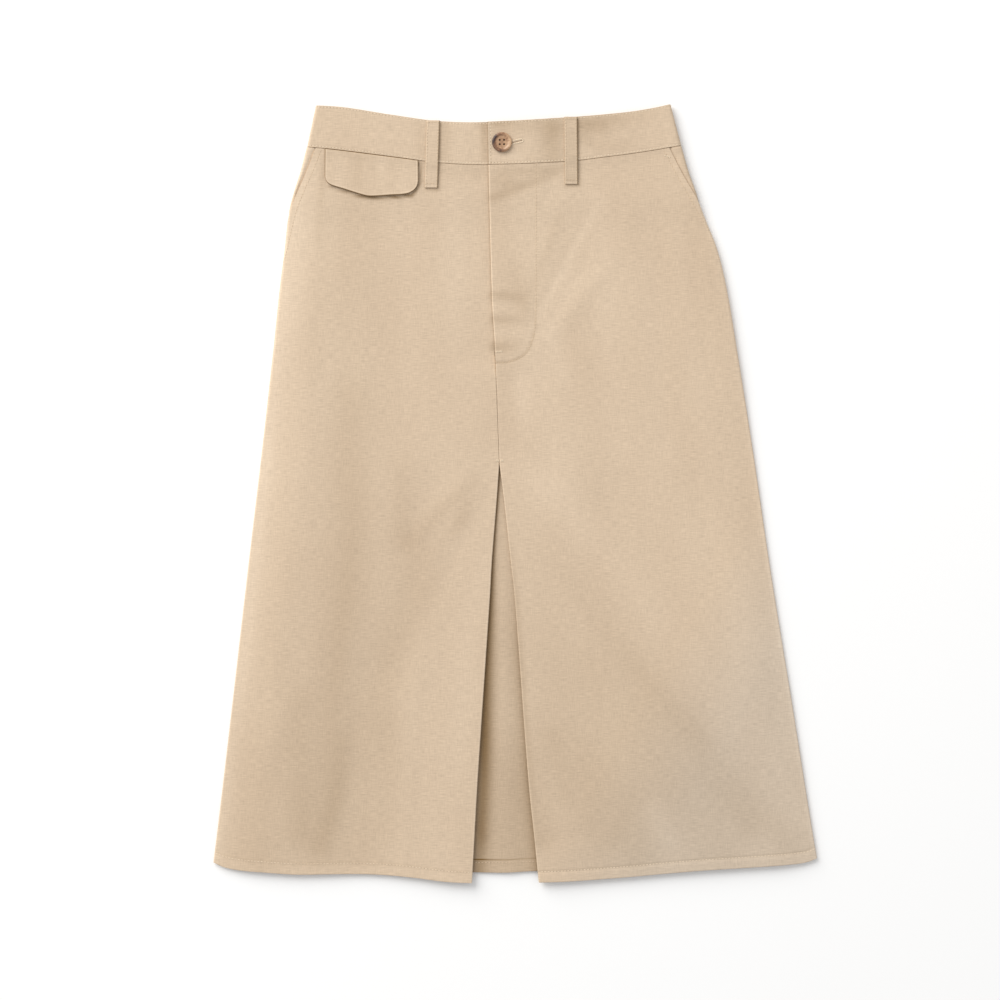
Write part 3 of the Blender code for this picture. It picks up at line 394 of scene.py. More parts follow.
# Painted light and shade on the flap
FLAP_PAINTED_SHADING = (
    ("left light", 6, (-168, 318, 0.05), (-168, 290, 0.05)),
    ("left dark", 5, (-148, 318, -0.05), (-150, 296, -0.04)),
    ("middle light", 5, (-127, 318, 0.06), (-126, 290, 0.02)),
    ("right light", 8, (-104, 312, 0.04), (-106, 290, 0.06)),
)
# Lower edge of the flap: share of its width, y
FLAP_EDGE = (
    (0.0, 301.0), (0.02, 296.6), (0.06, 293.4), (0.20, 289.3), (0.42, 283.2), (0.50, 282.3), (0.70, 283.4),
    (0.87, 284.6), (0.94, 287.4), (0.98, 291.6), (1.0, 297.5),
)
# The button's half section: shares of its radius and height
BUTTON_PROFILE = (
    (0.0, 0.0), (0.55, 0.0), (0.80, 0.08), (0.93, 0.22), (0.985, 0.38), (1.0, 0.52), (0.99, 0.70),
    (0.955, 0.87), (0.90, 0.97), (0.84, 1.0), (0.77, 0.96), (0.71, 0.86), (0.66, 0.74), (0.58, 0.67),
    (0.45, 0.65), (0.0, 0.65),
)
# Bar tacks: piece, start x, y, end x, y, width
BAR_TACKS = {
    "bar_tack_fly": (FRONTS[1], -19.0, 134.8, -13.3, 135.2, 1.8),
    "bar_tack_pleat": (FRONTS[1], -14.6, 31.5, -12.0, 31.5, 3.0),
    "bar_tack_pleat_other": (FRONTS[-1], -18.8, 31.5, -16.4, 31.5, 3.0),
    "bar_tack_pocket_left": (FRONTS[1], 141.2, 321.4, 146.2, 319.6, 1.8),
    "bar_tack_pocket_right": (FRONTS[-1], -197.0, 324.0, -191.6, 323.2, 1.8),
}
BUTTONHOLE = ((-6.0, 332.6), (6.9, 335.5))
BUTTONHOLE_WIDTH = 2.9
BUTTONHOLE_SLIT = (0.12, 0.88)  # share of its length that the slit takes

# Lines of stitching, as places in mm or shares of a length
HEM_STITCH = 10.3  # height of the hem's stitching above its edge
HEM_STITCHED = (0.015, 0.985)
HEM_ENDS = (-360.0, -352.0)  # y of the hem at the centre front and at the side
UNDERLAY_STITCHED = (-41.5, 20.0)
UNDERLAY_ENDS = (-91.0, 70.0)
UNDERLAY_STITCH = 2.4  # how far under the edge of the underlay's hem band it is sewn
BAND_STITCHED = ((-195.5, -27.6), (-25.0, 153.0))  # x between which the band's stitching shows
BAND_END_STITCHED = (316.0, 351.5)
LOOP_STITCHED = (0.03, 0.985)
LOOP_TOP_STITCH = 2.2
POCKET_STITCHED = 0.004
FLY_STITCH = (
    (19.0, 312.0), (19.0, 240.0), (18.9, 180.0), (18.6, 165.0), (17.4, 153.0), (12.3, 137.6), (6.6, 131.2),
    (0.0, 127.6), (-8.0, 125.0), (-18.6, 124.6),
)
# Size of the close stitches: length, step, width, height
BUTTONHOLE_STITCH = (1.5, 0.4, 0.45, 0.7)
SLIT_STITCH = (1.4, 0.7, 0.5, 0.25)
TACK_STITCH = (0.42, 0.42, 0.5)  # after the tack's own width

# Lines along seams, folds and stitching: name, what the line runs beside, distance from it, half width,
# change, and the two places that it fades in between, where it does
SEWN_RELIEF = (
    ("hem's stitching", "hem", HEM_STITCH, 1.1, -0.22),
    ("pocket's stitching", "pocket", 0.0, 1.2, -0.22),
)
FRONT_RELIEF = {
    -1: SEWN_RELIEF,
    1: SEWN_RELIEF + (("fly's stitching", "fly", 0.0, 1.1, -0.28, 220.0, 150.0),),
}
# Painted light and shade on the fronts: shadow, shade in grooves, and highlights on folds and edges
FRONT_SHADE = {
    -1: (
        ("shadow of the fly", "left front", -0.3, 0.8, -0.14, 132.0, 140.0),
        ("worn fold of the pleat", "edge", 0.6, 0.6, 0.32, PLEAT_TOP + 4.0, PLEAT_TOP - 4.0),
        ("under the hem's turn", "hem", HEM_STITCH + 0.8, 1.0, -0.06),
    ),
    1: (
        ("fly's stitching", "fly", 0.0, 1.2, -0.18, 190.0, 145.0),
        ("light on the side fold", "side", 0.0, 2.2, 0.22),
        ("worn fold", "edge", 0.6, 0.6, 0.05),
        ("worn edge of the fly", "edge", 0.6, 0.6, 0.09, 130.0, 138.0),
        ("under the hem's turn", "hem", HEM_STITCH + 0.8, 1.0, -0.06),
    ),
}
UNDERLAY_RELIEF = (
    ("step under the hem band", "hem", HEM_BAND + 0.5, 0.45, -0.45, 20.0, -35.0),
    ("band's stitching", "hem", HEM_BAND - UNDERLAY_STITCH, 0.9, -0.14),
)
# Painted shade in the crevice at the edge of the underlay's hem band
UNDERLAY_SHADE = (
    ("edge of the hem band", "hem", HEM_BAND + 0.4, 0.6, -0.1575),
    ("edge of the hem band, left", "hem", HEM_BAND + 0.4, 0.6, -0.2925, 20.0, -30.0),
)
BAND_RELIEF = (
    ("lower stitching", "seam", BAND_STITCH, 0.8, -0.16),
    ("upper stitching", "top", BAND_STITCH, 0.8, -0.10),
    ("stitching of the buttoned end", "end", BAND_END_STITCH, 0.7, -0.14),
)
# Painted shade at the stitching of the buttoned end, and the painted shadow that end casts
BAND_SHADE = (("stitching of the buttoned end", "end", BAND_END_STITCH, 0.6, -0.12),)
OVERLAP_SHADE = (("shadow of the buttoned end", "end", -0.2, 0.6, -0.2),)
FLAP_RELIEF = (("rolled edge", "edge", 1.4, 1.3, 0.16),)
LOOP_RELIEF = (
    ("side stitching", "side", LOOP_STITCH, 0.7, -0.22),
    ("rolled side", "side", 0.6, 0.6, 0.08),
    ("end stitching", "end", LOOP_END_STITCH, 0.7, -0.20),
)
# Painted light and shade on the front loops: edge highlights, end stitching shade, side shadow
LOOP_SHADE = (
    ("worn edges", "edge", 0.9, 0.5, EDGE_RIDGE),
    ("end stitching", "end", LOOP_END_STITCH + 0.6, 0.8, -0.07),
    ("shadow along the left side", "left side", 0.0, 0.7, -0.45),
)
# Painted shade: the dark hairline along an edge
EDGE_SHADE = (("hairline", "edge", 0.0, 0.45, -EDGE_LINE),)
# Uneven puckers beside each seam: half width and height
PUCKERS = {
    "hem": (5.0, 0.10), "waist": (8.0, 0.10), "pocket": (4.0, 0.12), "fly": (6.0, 0.10),
    "hem band": (4.0, 0.12), "band, lower": (5.0, 0.10), "band, upper": (4.0, 0.07),
}
HEM_TURN = (HEM_STITCH - 1.0, HEM_STITCH - 3.0)  # heights over which the hem's double cloth rises
HEM_TURN_RISE = 0.22
HEM_TURN_LIGHT = 0.04
# Values that change along y: the value, then the two places that each change lies between, and the change
# Painted shade on the underlay: its lightness, and the painted shadows that the fronts' two folds cast
UNDERLAY_LIGHT = (0.92, (-200.0, -290.0, -0.09))
SHADOW_PLACE = (0.0, (-130.0, -300.0, 6.0))
SHADOW_WIDTH = (2.0, (-20.0, -180.0, 6.0))
SHADOW_DEPTH = (0.67, (-230.0, -290.0, -0.12), (-320.0, -348.0, -0.2))
LEFT_SHADOW_DEPTH = (0.0, (-60.0, -170.0, 0.3))
LEFT_SHADOW_WIDTH = 6.0

BUTTON_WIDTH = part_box("waist_button")[1].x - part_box("waist_button")[0].x  # in metres
FAR = 1e9
TINY = 1e-9


def ease(low, high, value):
    """0 below low, 1 above high, and a smooth step between."""
    t = np.clip((value - low) / (high - low), 0.0, 1.0)
    return t * t * (3.0 - 2.0 * t)


def mix(a, b, share):
    return a + (b - a) * share


def along(rows, place, column=1):
    """Values of a table's column at places in its first column, on a smooth curve through the rows."""
    table = np.array([row[: column + 1] for row in rows], float)
    if table[0, 0] > table[-1, 0]:
        table = table[::-1]
    key, value = table[:, 0], table[:, column]
    last = len(key) - 1
    place = np.clip(place, key[0], key[-1])
    i = np.clip(np.searchsorted(key, place) - 1, 0, last - 1)
    before = np.maximum(np.arange(last + 1) - 1, 0)
    after = np.minimum(np.arange(last + 1) + 1, last)
    slope = (value[after] - value[before]) / (key[after] - key[before])
    span = key[i + 1] - key[i]
    t = (place - key[i]) / span
    return (
        (2 * t**3 - 3 * t**2 + 1) * value[i]
        + (t**3 - 2 * t**2 + t) * span * slope[i]
        + (3 * t**2 - 2 * t**3) * value[i + 1]
        + (t**3 - t**2) * span * slope[i + 1]
    )


# The shape of the skirt as it lies


def of_side(table, side, place):
    """Values of one side's column of a table."""
    return along(table, place, COLUMN[side])


def side_edge(side, y):
    """x of the outline."""
    return of_side(OUTLINE, side, y)


def under_fly(y):
    return ease(*UNDER_REACH_ENDS, y)


def centre_edge(side, y):
    """x of a front panel's folded edge at the centre front."""
    above = along(FLY_EDGE, y)
    if side < 0:
        above = above + mix(-GAP, UNDER_REACH, under_fly(y))
    return np.where(y < PLEAT_TOP, of_side(PLEAT_EDGES, side, y), above)


def back_height(x, y):
    """Middle of the back cloth."""
    at_seam = ease(SEAM_STEP, 0.0, along(WAIST_SEAM, x) - y)
    return CLOTH / 2 + LOOP_LIFT * ease(*LOOP_RISE, y) + (BAND - CLOTH) / 2 * at_seam


def return_depth(y):
    """How far the pleat's return reaches under the front."""
    slant = np.clip(1.0 - (PLEAT_TOP - y) / RETURN_SLANT, 0.0, None)
    return RETURN_FULL - (RETURN_FULL - RETURN_TOP) * slant


def groove(distance, width):
    return np.exp(-((distance / width) ** 2))


def beside(start, end, x, y):
    """Share of the way along a straight line that points lie beside, and their distance from it."""
    run_x, run_y = end[0] - start[0], end[1] - start[1]
    share = np.clip(((x - start[0]) * run_x + (y - start[1]) * run_y) / (run_x**2 + run_y**2), 0.0, 1.0)
    return share, np.hypot(x - start[0] - run_x * share, y - start[1] - run_y * share)


def drawn(strokes, x, y):
    """What soft strokes add at points in the plan."""
    total = 0.0
    for _, half_width, *points in strokes:
        nearest, strength = np.full(np.shape(x + y), FAR), 0.0
        for start, end in zip(points, points[1:]):
            share, off = beside(start, end, x, y)
            strength = np.where(off < nearest, mix(start[2], end[2], share), strength)
            nearest = np.minimum(nearest, off)
        total = total + strength * groove(nearest, half_width)
    return total


def centre_flat(side, y):
    """Width beside the centre front edge that lies level with it."""
    if side < 0:
        return (UNDER_REACH + FLAT_MARGIN) * under_fly(y)
    return mix(FLY_TURN, UNDERLAP + FLAT_MARGIN, ease(*FLY_FLAT_ENDS, y))


def settle(level, centre, from_centre, flat, from_side, radius):
    """Height over the back's middle: level in the open, eased to the centre's and to the side fold's."""
    level = mix(centre, level, ease(flat, flat + CENTRE_SOFTNESS, from_centre))
    return mix(2.0 * radius, level, ease(0.0, SIDE_SOFTNESS, from_side))


def front_height(side, x, y):
    """Middle of the front cloth where it faces up."""
    level = mix(FRONT_OVER_BODY, FRONT_OVER_WAIST, ease(*WAIST_FALL, y))
    from_centre = np.abs(x - centre_edge(side, y))
    folds = drawn(FOLDS, x, y)
    beyond_pleat = from_centre - np.where(y < PLEAT_TOP, return_depth(y), 0.0)
    sinks = (folds < 0.0) & (y < PLEAT_CLEAR_BELOW)
    folds = folds * np.where(sinks, ease(0.0, PLEAT_CLEARANCE, beyond_pleat), 1.0)
    level = level + folds * (1.0 - ease(*FOLDS_FADE, y))
    radius = along(SIDE_FOLD, y)
    from_side = np.abs(side_edge(side, y) - x) - CLOTH / 2 - radius
    centre = of_side(CENTRE_RISE, side, y)
    return back_height(x, y) + settle(level, centre, from_centre, centre_flat(side, y), from_side, radius)


def row_y(side, down, out):
    """y of points of a front panel, by share of the way down and out from the centre front."""
    seam_x = mix(centre_edge(side, SEAM_CENTRE_Y), side_edge(side, SEAM_SIDE_Y), out)
    return mix(along(WAIST_SEAM, seam_x) - SEAM_GAP, of_side(FRONT_HEM, side, out), down)


def quarter_fold(y):
    """Length of cloth in a quarter turn of the side fold."""
    return np.pi * along(SIDE_FOLD, y) / 2


def skin(side, down, out):
    """Points of the front's middle surface. out is measured along the cloth from the side fold: negative on
    the face, positive on the underside."""
    y_side = row_y(side, down, 1.0)
    radius, quarter = along(SIDE_FOLD, y_side), quarter_fold(y_side)
    axis_x = side_edge(side, y_side) - side * (CLOTH / 2 + radius)
    centre_x = centre_edge(side, row_y(side, down, 0.0))
    under, face = out > quarter, out <= -quarter
    x = axis_x + side * radius * np.cos(out / radius)
    x = np.where(under, axis_x - side * (out - quarter), np.where(face, axis_x + side * (quarter + out), x))
    share = np.minimum(1.0, (x - centre_x) / (side_edge(side, y_side) - centre_x))
    y = row_y(side, down, share)
    z = back_height(axis_x, y) + radius - radius * np.sin(out / radius)
    z = np.where(under, back_height(x, y), np.where(face, front_height(side, x, y), z))
    return np.stack((x, y, z), axis=-1)


def pocket_mouth(side, down):
    """Where the front's pocket edge crosses a row, measured as in skin."""
    start, slope = POCKET_MOUTH[side]
    drop = row_y(side, 0.0, 1.0) - row_y(side, down, 1.0)
    return np.minimum(SEAM_UNDER, start + slope * drop)


def band_end(side, y):
    """x of the waistband's outline."""
    top, seam = (WAIST_TOP[0], WAIST_SEAM[0]) if side < 0 else (WAIST_TOP[-1], WAIST_SEAM[-1])
    return mix(seam[0], top[0], (y - seam[1]) / (top[1] - seam[1]))


def band_height(side, x, y):
    """Middle of the waistband's front half."""
    edge = centre_edge(1, y) + (UNDER_REACH if side < 0 else 0.0)
    from_centre = np.maximum(0.0, (x - edge) * side)
    radius = along(SIDE_FOLD, WAIST_SEAM[0][1])
    from_side = np.abs(band_end(side, y) - x) - BAND / 2 - radius
    centre = of_side(CENTRE_RISE, side, y)
    level = settle(FRONT_OVER_WAIST, centre, from_centre, centre_flat(side, y), from_side, radius)
    return LOOP_LIFT + BAND / 2 + level


def face_height(x, y):
    """Outer surface of the band or front at points of the skirt's face."""
    right = x < centre_edge(1, y)
    front = np.where(right, front_height(-1, x, y), front_height(1, x, y)) + CLOTH / 2
    band = np.where(right, band_height(-1, x, y), band_height(1, x, y)) + BAND / 2
    return np.where(y < along(WAIST_SEAM, x), front, band)



# Making meshes

RIM_STEPS = 4  # facets of the rounded edge of a piece of cloth
RIM_REACH = 0.55  # most of the first cell that it takes


def linked(name, data):
    """A new object in the scene."""
    made = bpy.data.objects.new(name, data)
    bpy.context.scene.collection.objects.link(made)
    return made


def from_bmesh(name, shape):
    """A new object of a bmesh, which is freed."""
    made = linked(name, bpy.data.meshes.new(name))
    shape.to_mesh(made.data)
    shape.free()
    return made


def as_built(name, source):
    """A plain mesh of what an object's modifiers make, in its place."""
    bpy.context.view_layer.update()
    graph = bpy.context.evaluated_depsgraph_get()
    made = linked(name, bpy.data.meshes.new_from_object(source.evaluated_get(graph)))
    made.data.name = name
    bpy.data.objects.remove(source)
    return made


def offset(grid, distance):
    """The grid moved along its normals, with mitred corners in each row, so that folds keep their width."""
    down = np.gradient(grid, axis=0)
    step = np.diff(grid, axis=1)
    step /= np.maximum(np.linalg.norm(step, axis=2, keepdims=True), TINY)
    across = np.zeros_like(grid)
    across[:, 1:] += step
    across[:, :-1] += step
    mitre = np.linalg.norm(across, axis=2, keepdims=True) / 2
    mitre[:, 0] = mitre[:, -1] = 1.0
    normal = np.cross(across, down)
    normal /= np.linalg.norm(normal, axis=2, keepdims=True)
    return grid + normal * (distance / mitre)


def rim_of(rows, columns):
    """Places of a grid's border, in order round it."""
    top = [(0, j) for j in range(columns)]
    last = [(i, columns - 1) for i in range(1, rows)]
    bottom = [(rows - 1, j) for j in range(columns - 2, -1, -1)]
    first = [(i, 0) for i in range(rows - 2, 0, -1)]
    return np.array(top + last + bottom + first)


def cloth_wall(name, grid, thickness, relief=0.0, uv=None, shade=1.0, edge_shade=1.0):
    """A closed wall of cloth on a grid of its middle points, with a rounded edge all round. relief adds
    height to its upper side alone. uv is the place of each point on the flat cloth, in mm. shade is the
    painted light and shade at each point, and edge_shade how much of that its rounded edge keeps."""
    rows, columns = grid.shape[:2]
    upper, lower = offset(grid, thickness / 2), offset(grid, -thickness / 2)
    upper[..., 2] += relief
    rim = rim_of(rows, columns)
    i, j = rim[:, 0], rim[:, 1]
    inner_i, inner_j = np.clip(i, 1, rows - 2), np.clip(j, 1, columns - 2)
    middle = (upper + lower) / 2
    half = ((upper - lower) / 2)[i, j]
    edge = middle[i, j]
    outward = edge - middle[inner_i, inner_j]
    reach = np.linalg.norm(outward, axis=1, keepdims=True)
    outward /= np.maximum(reach, TINY)
    radius = np.minimum(thickness / 2, RIM_REACH * reach)
    upper[i, j] = edge - outward * radius + half
    lower[i, j] = edge - outward * radius - half
    angles = [math.pi * (0.5 - k / RIM_STEPS) for k in range(1, RIM_STEPS)]
    loops = [edge + outward * radius * (math.cos(a) - 1.0) + half * math.sin(a) for a in angles]

    count = rows * columns
    points = np.concatenate([upper.reshape(-1, 3), lower.reshape(-1, 3)] + loops) * MM
    cell = (np.arange(rows - 1)[:, None] * columns + np.arange(columns - 1)).ravel()
    face = np.stack((cell, cell + 1, cell + columns + 1, cell + columns), axis=1)
    faces = [face, face[:, ::-1] + count]
    border = i * columns + j
    size = len(border)
    chain = [border] + [2 * count + k * size + np.arange(size) for k in range(len(loops))] + [border + count]
    for a, b in zip(chain, chain[1:]):
        faces.append(np.stack((np.roll(a, -1), a, b, np.roll(b, -1)), axis=1))
    faces = np.concatenate(faces)
    flat = (grid[..., :2] if uv is None else uv).reshape(-1, 2)
    place = np.concatenate([flat, flat] + [flat[border]] * len(loops)) * MM

    corner = points[faces[:, 0]]
    spans = np.cross(points[faces[:, 2]] - corner, points[faces[:, 3]] - points[faces[:, 1]])
    if (corner * spans).sum() < 0.0:
        faces = faces[:, ::-1]
    mesh = bpy.data.meshes.new(name)
    mesh.from_pydata(points.tolist(), [], faces.tolist())
    layer = mesh.uv_layers.new(name="cloth")
    layer.data.foreach_set("uv", place[faces.ravel()].astype(np.float32).ravel())
    light = (shade + 0 * grid[..., 0]).ravel()
    # The rounded edge is painted darker by edge_shade, most where it faces sideways
    rims = [light[border] * mix(1.0, edge_shade, math.sqrt(abs(math.cos(a)))) for a in angles]
    tones = mesh.attributes.new(name="shade", type="FLOAT", domain="POINT")
    tones.data.foreach_set("value", np.concatenate([light, light] + rims).astype(np.float32))
    mesh.shade_smooth()
    return linked(name, mesh)


def spread(start, end, step, extra=()):
    """Places from start to end about one step apart, and some extra ones."""
    count = max(2, int(round(abs(end - start) / step)) + 1)
    places = np.concatenate((np.linspace(start, end, count), extra))
    return np.array(sorted(set(np.round(places, 5).tolist())))


# Colours and materials


def srgb(hexadecimal):
    """Linear colour of an sRGB hex value."""
    parts = [int(hexadecimal[k : k + 2], 16) / 255.0 for k in (1, 3, 5)]
    return tuple(c / 12.92 if c <= 0.04045 else ((c + 0.055) / 1.055) ** 2.4 for c in parts) + (1.0,)


def wire(tree, node, settings):
    """Gives a node's attributes, or its sockets by name or number, a value, an output or a node's first."""
    for key, given in settings.items():
        if isinstance(given, bpy.types.Node):
            given = given.outputs[0]
        if isinstance(given, bpy.types.NodeSocket):
            tree.links.new(given, node.inputs[key])
        elif isinstance(key, str) and hasattr(node, key):
            setattr(node, key, given)
        else:
            node.inputs[key].default_value = given


def add(tree, kind, settings=None):
    """Adds a node with its settings and links, given as in wire."""
    node = tree.nodes.new(kind)
    wire(tree, node, settings or {})
    return node


def new_material(name):
    made = bpy.data.materials.new(name)
    made.use_nodes = True
    return made, made.node_tree, made.node_tree.nodes["Principled BSDF"]


def threads(tree, place, pitch_x, pitch_y, roughness=0.55):
    """Noise drawn out along one direction: lengths of thread, of these pitches in metres along the cloth."""
    pitches = (1.0 / pitch_x, 1.0 / pitch_y, 1.0)
    scaled = add(tree, "ShaderNodeVectorMath", {"operation": "MULTIPLY", 0: place, 1: pitches})
    noise = {"noise_dimensions": "2D", 0: scaled, "Scale": 1.0, "Detail": 1.0, "Roughness": roughness}
    return add(tree, "ShaderNodeTexNoise", noise)


def canvas(name, cloth):
    """Cotton canvas: a plain weave of slightly slubby yarn, washed and pressed. It gives a matt surface with
    a fine crosshatch, broken streaks along both yarns and faint clouds where the dye took unevenly. The yarns
    are 0.45 mm apart, too fine for the picture, so they are drawn at the pitch that the settings give."""
    made, tree, shader = new_material(name)
    place = add(tree, "ShaderNodeUVMap", {"uv_map": "cloth"})
    fine, yarn = cloth.thread_pitch, cloth.thread_pitch * YARN_LENGTH
    wide, long = cloth.thread_pitch * SLUB_WIDTH, cloth.thread_pitch * SLUB_LENGTH
    warp, weft = threads(tree, place, fine, yarn), threads(tree, place, yarn, fine)
    slubs = [threads(tree, place, *sizes, SLUB_SOFTNESS) for sizes in ((wide, long), (long, wide))]
    patches = threads(tree, place, PATCH * MM, PATCH * MM)
    clouds = threads(tree, place, CLOUD[0] * MM, CLOUD[1] * MM)
    blend = add(tree, "ShaderNodeMapRange", {0: patches, 3: WARP_SHARE[0], 4: WARP_SHARE[1]})
    weave = add(tree, "ShaderNodeMix", {"data_type": "FLOAT", 0: blend, 2: warp, 3: weft})
    contrasts = ((weave, cloth.weave_contrast), *((slub, cloth.slub_contrast) for slub in slubs))
    tone, *uneven = [
        add(tree, "ShaderNodeMapRange", {0: part, 3: 1.0 - contrast, 4: 1.0 + contrast})
        for part, contrast in contrasts
    ]
    for part in uneven:
        tone = add(tree, "ShaderNodeMath", {"operation": "MULTIPLY", 0: tone, 1: part})
    dye = {"data_type": "RGBA", 0: clouds, 6: cloth.light_colour, 7: cloth.deep_colour}
    dyed = add(tree, "ShaderNodeMix", dye).outputs[2]
    woven = add(tree, "ShaderNodeVectorMath", {"operation": "SCALE", 0: dyed, 3: tone})
    # The shade attribute is painted light and shade, made warmer as it deepens
    painted_light_and_shade = add(tree, "ShaderNodeAttribute", {"attribute_name": "shade"}).outputs["Fac"]
    warmer = {"operation": "MULTIPLY_ADD", 0: painted_light_and_shade, 1: [1.0 - part for part in SHADE_WARMTH], 2: SHADE_WARMTH}
    # Painted cooler light towards the hem's left corner
    place = add(tree, "ShaderNodeTexCoord").outputs["Object"]
    across = add(tree, "ShaderNodeVectorMath", {"operation": "DOT_PRODUCT", 0: place, 1: TO_PAINTED_COOL_LIGHT})
    faded = {0: across.outputs["Value"], 1: PAINTED_COOL_LIGHT_FROM[0], 2: PAINTED_COOL_LIGHT_FROM[1]}
    painted_cool_light_mix = {"data_type": "VECTOR", 0: add(tree, "ShaderNodeMapRange", faded), 4: (1.0, 1.0, 1.0), 5: PAINTED_COOL_LIGHT}
    for shade in (add(tree, "ShaderNodeVectorMath", warmer), add(tree, "ShaderNodeMix", painted_cool_light_mix).outputs[1]):
        woven = add(tree, "ShaderNodeVectorMath", {"operation": "MULTIPLY", 0: woven, 1: shade})
    knots = add(tree, "ShaderNodeMath", {"operation": "MULTIPLY", 0: slubs[0], 1: slubs[1]})
    height = add(tree, "ShaderNodeMath", {"operation": "ADD", 0: weave, 1: knots})
    bump = {"Strength": cloth.weave_bump, "Distance": WEAVE_HEIGHT * MM, "Height": height}
    matt = {"Roughness": 0.88, "Specular IOR Level": 0.25}
    fuzz = {"Sheen Weight": 0.12, "Sheen Roughness": 0.6, "Sheen Tint": srgb("#f3e6d2")}
    wire(tree, shader, {"Base Color": woven, "Normal": add(tree, "ShaderNodeBump", bump), **matt, **fuzz})
    return made


def sewing_thread(name, colour):
    """Cotton-wrapped polyester thread: two plies, with a brighter, silkier surface than the canvas."""
    made, tree, shader = new_material(name)
    place = add(tree, "ShaderNodeTexCoord").outputs["Object"]
    ply = add(tree, "ShaderNodeTexNoise", {0: place, "Scale": 1.0 / (THREAD_PLY * MM), "Detail": 1.0})
    uneven = add(tree, "ShaderNodeMapRange", {0: ply, 3: 0.86, 4: 1.1})
    tone = add(tree, "ShaderNodeVectorMath", {"operation": "SCALE", 0: tuple(colour)[:3], 3: uneven})
    wire(tree, shader, {"Base Color": tone, "Roughness": 0.6, "Sheen Weight": 0.2})
    return made


def horn_resin(name, button):
    """Horn-look polyester resin, turned and tumbled: mottled brown and honey, darker round one side of the
    rim, with a soft gloss. The mottling is about 4 mm across."""
    made, tree, shader = new_material(name)
    place = add(tree, "ShaderNodeTexCoord").outputs["Object"]
    place = add(tree, "ShaderNodeMapping", {0: place, "Location": (-BUTTON_X * MM, -BUTTON_Y * MM, 0.0)})
    swirl = {0: place, "Scale": 1.0 / (HORN_MOTTLE * MM), "Detail": 3.0, "Roughness": 0.55, "Distortion": 1.2}
    mottle = add(tree, "ShaderNodeMapRange", {0: add(tree, "ShaderNodeTexNoise", swirl), 3: -0.5, 4: 0.8})
    across = add(tree, "ShaderNodeSeparateXYZ", {0: place})
    lean = {"operation": "MULTIPLY_ADD", 0: across, 1: HORN_LEAN[0], 2: HORN_LEAN[1]}
    level = add(tree, "ShaderNodeVectorMath", {"operation": "MULTIPLY", 0: place, 1: (1.0, 1.0, 0.0)})
    out = add(tree, "ShaderNodeVectorMath", {"operation": "LENGTH", 0: level}).outputs["Value"]
    rim = add(tree, "ShaderNodeMapRange", {0: out, 1: HORN_RIM[0] * MM, 2: HORN_RIM[1] * MM})
    brown = {"data_type": "FLOAT", 0: rim, 2: HORN_EVEN, 3: add(tree, "ShaderNodeMath", lean)}
    blend = {"operation": "ADD", 0: add(tree, "ShaderNodeMix", brown), 1: mottle}
    ramp = add(tree, "ShaderNodeValToRGB", {0: add(tree, "ShaderNodeMath", blend)})
    ramp.color_ramp.elements.new(HORN_MIDDLE)
    for stop, colour in zip(ramp.color_ramp.elements, (button.dark, button.middle, button.light)):
        stop.color = colour
    gloss = {"Roughness": 0.42, "IOR": 1.54, "Coat Weight": 0.12, "Coat Roughness": 0.15}
    wire(tree, shader, {"Base Color": ramp, **gloss})
    return made


def paint(made, material):
    made.data.materials.clear()
    made.data.materials.append(material)


# Cloth pieces, as grids of middle points in mm

FOLD_STEPS = 8  # steps round a folded edge
ROW_STEP = 0.0042  # step of a panel's rows, as a share of its length
FRONT_LENGTH = 685.0
STITCH_ROWS = 0.9  # step of the extra rows beside a line of stitching
FLY_ROWS = (0.255, 0.30)  # extra rows at the foot of the fly's stitching, as shares of the front's length
FLY_ROW_STEP = 1.3
EDGE_ROWS = (0.8, 1.8, 3.0)  # distance of the extra rows beside an edge
CREASE_FADE = ((0.0, 10.0), (2.0, 16.0))  # distances from the centre and the side over which creases set in
RELIEF_FADE = (1.0, 4.0)  # distance from the side over which relief sets in
WRAP_COLUMNS = 14
WRAP_DENSITY = 3.0  # how much closer the columns are round the side fold
INNER_MARGIN = 2.0
WRAP_SAMPLES = 400
RETURN_COLUMNS = 7
UNDERLAY_COLUMNS = 62
UNDERLAY_STEP = 0.0075
UNDERLAY_ROWS = (-0.9, -0.5, -0.15, 0.15, 0.5, 0.9, 1.6)  # extra rows about the edge of its hem band, in mm
RIPPLE_PLACE, RIPPLE_WIDTH = 0.52, 9.0  # where the underlay's ridge lies, as a share of the way across
RIPPLE_ENDS = (20.0, -120.0)  # y over which it sets in
HEM_BAND_SLOPE = 0.3  # half width of the step at the edge of the hem band
BACK_COLUMNS = 61
BACK_MEETS = (0.3, 0.7)  # shares of the way across, outside which the back's rows rise to meet the fronts'
FACING_UNDER = (1.0, 0.8, 0.6, 0.4, 0.2)  # shares of the way from the side fold to the side seam
FACING_TURN_COLUMNS, FACING_COLUMNS = 13, 16  # round the side fold, and on the face
BAND_STEP = 0.033
BAND_COLUMNS = {"underlap": 24, "right": 106, "back": 60, "left": 118}
BAND_TURN = 10  # steps round the band's side fold
BAND_ROWS = (0.012, 0.022, 0.955, 0.97, 0.985)  # extra rows beside the band's long edges
BAND_FINE = (2.6, 2.1, 1.7, 1.35, 1.05, 0.75, 0.5, 0.25, 0.0)  # distances of columns from its buttoned end
FLAP_EVEN_ROWS, FLAP_COLUMNS = 28, 70
FLAP_EVEN_END = 0.9  # share of the flap's length that the even rows end at
FLAP_MARGIN = 4.0  # distance of the even columns from its sides
FLAP_ROWS = (0.92, 0.935, 0.95, 0.96, 0.968, 1.0)  # rows at the flap's lower edge
FLAP_FINE = (1.3, 1.7, 2.1, 2.6, 3.2)  # distances of the finer columns from its sides
LOOP_COLUMNS, LOOP_FINE_ROWS, BACK_LOOP_COLUMNS, ZIP_COLUMNS = 27, 62, 13, 15
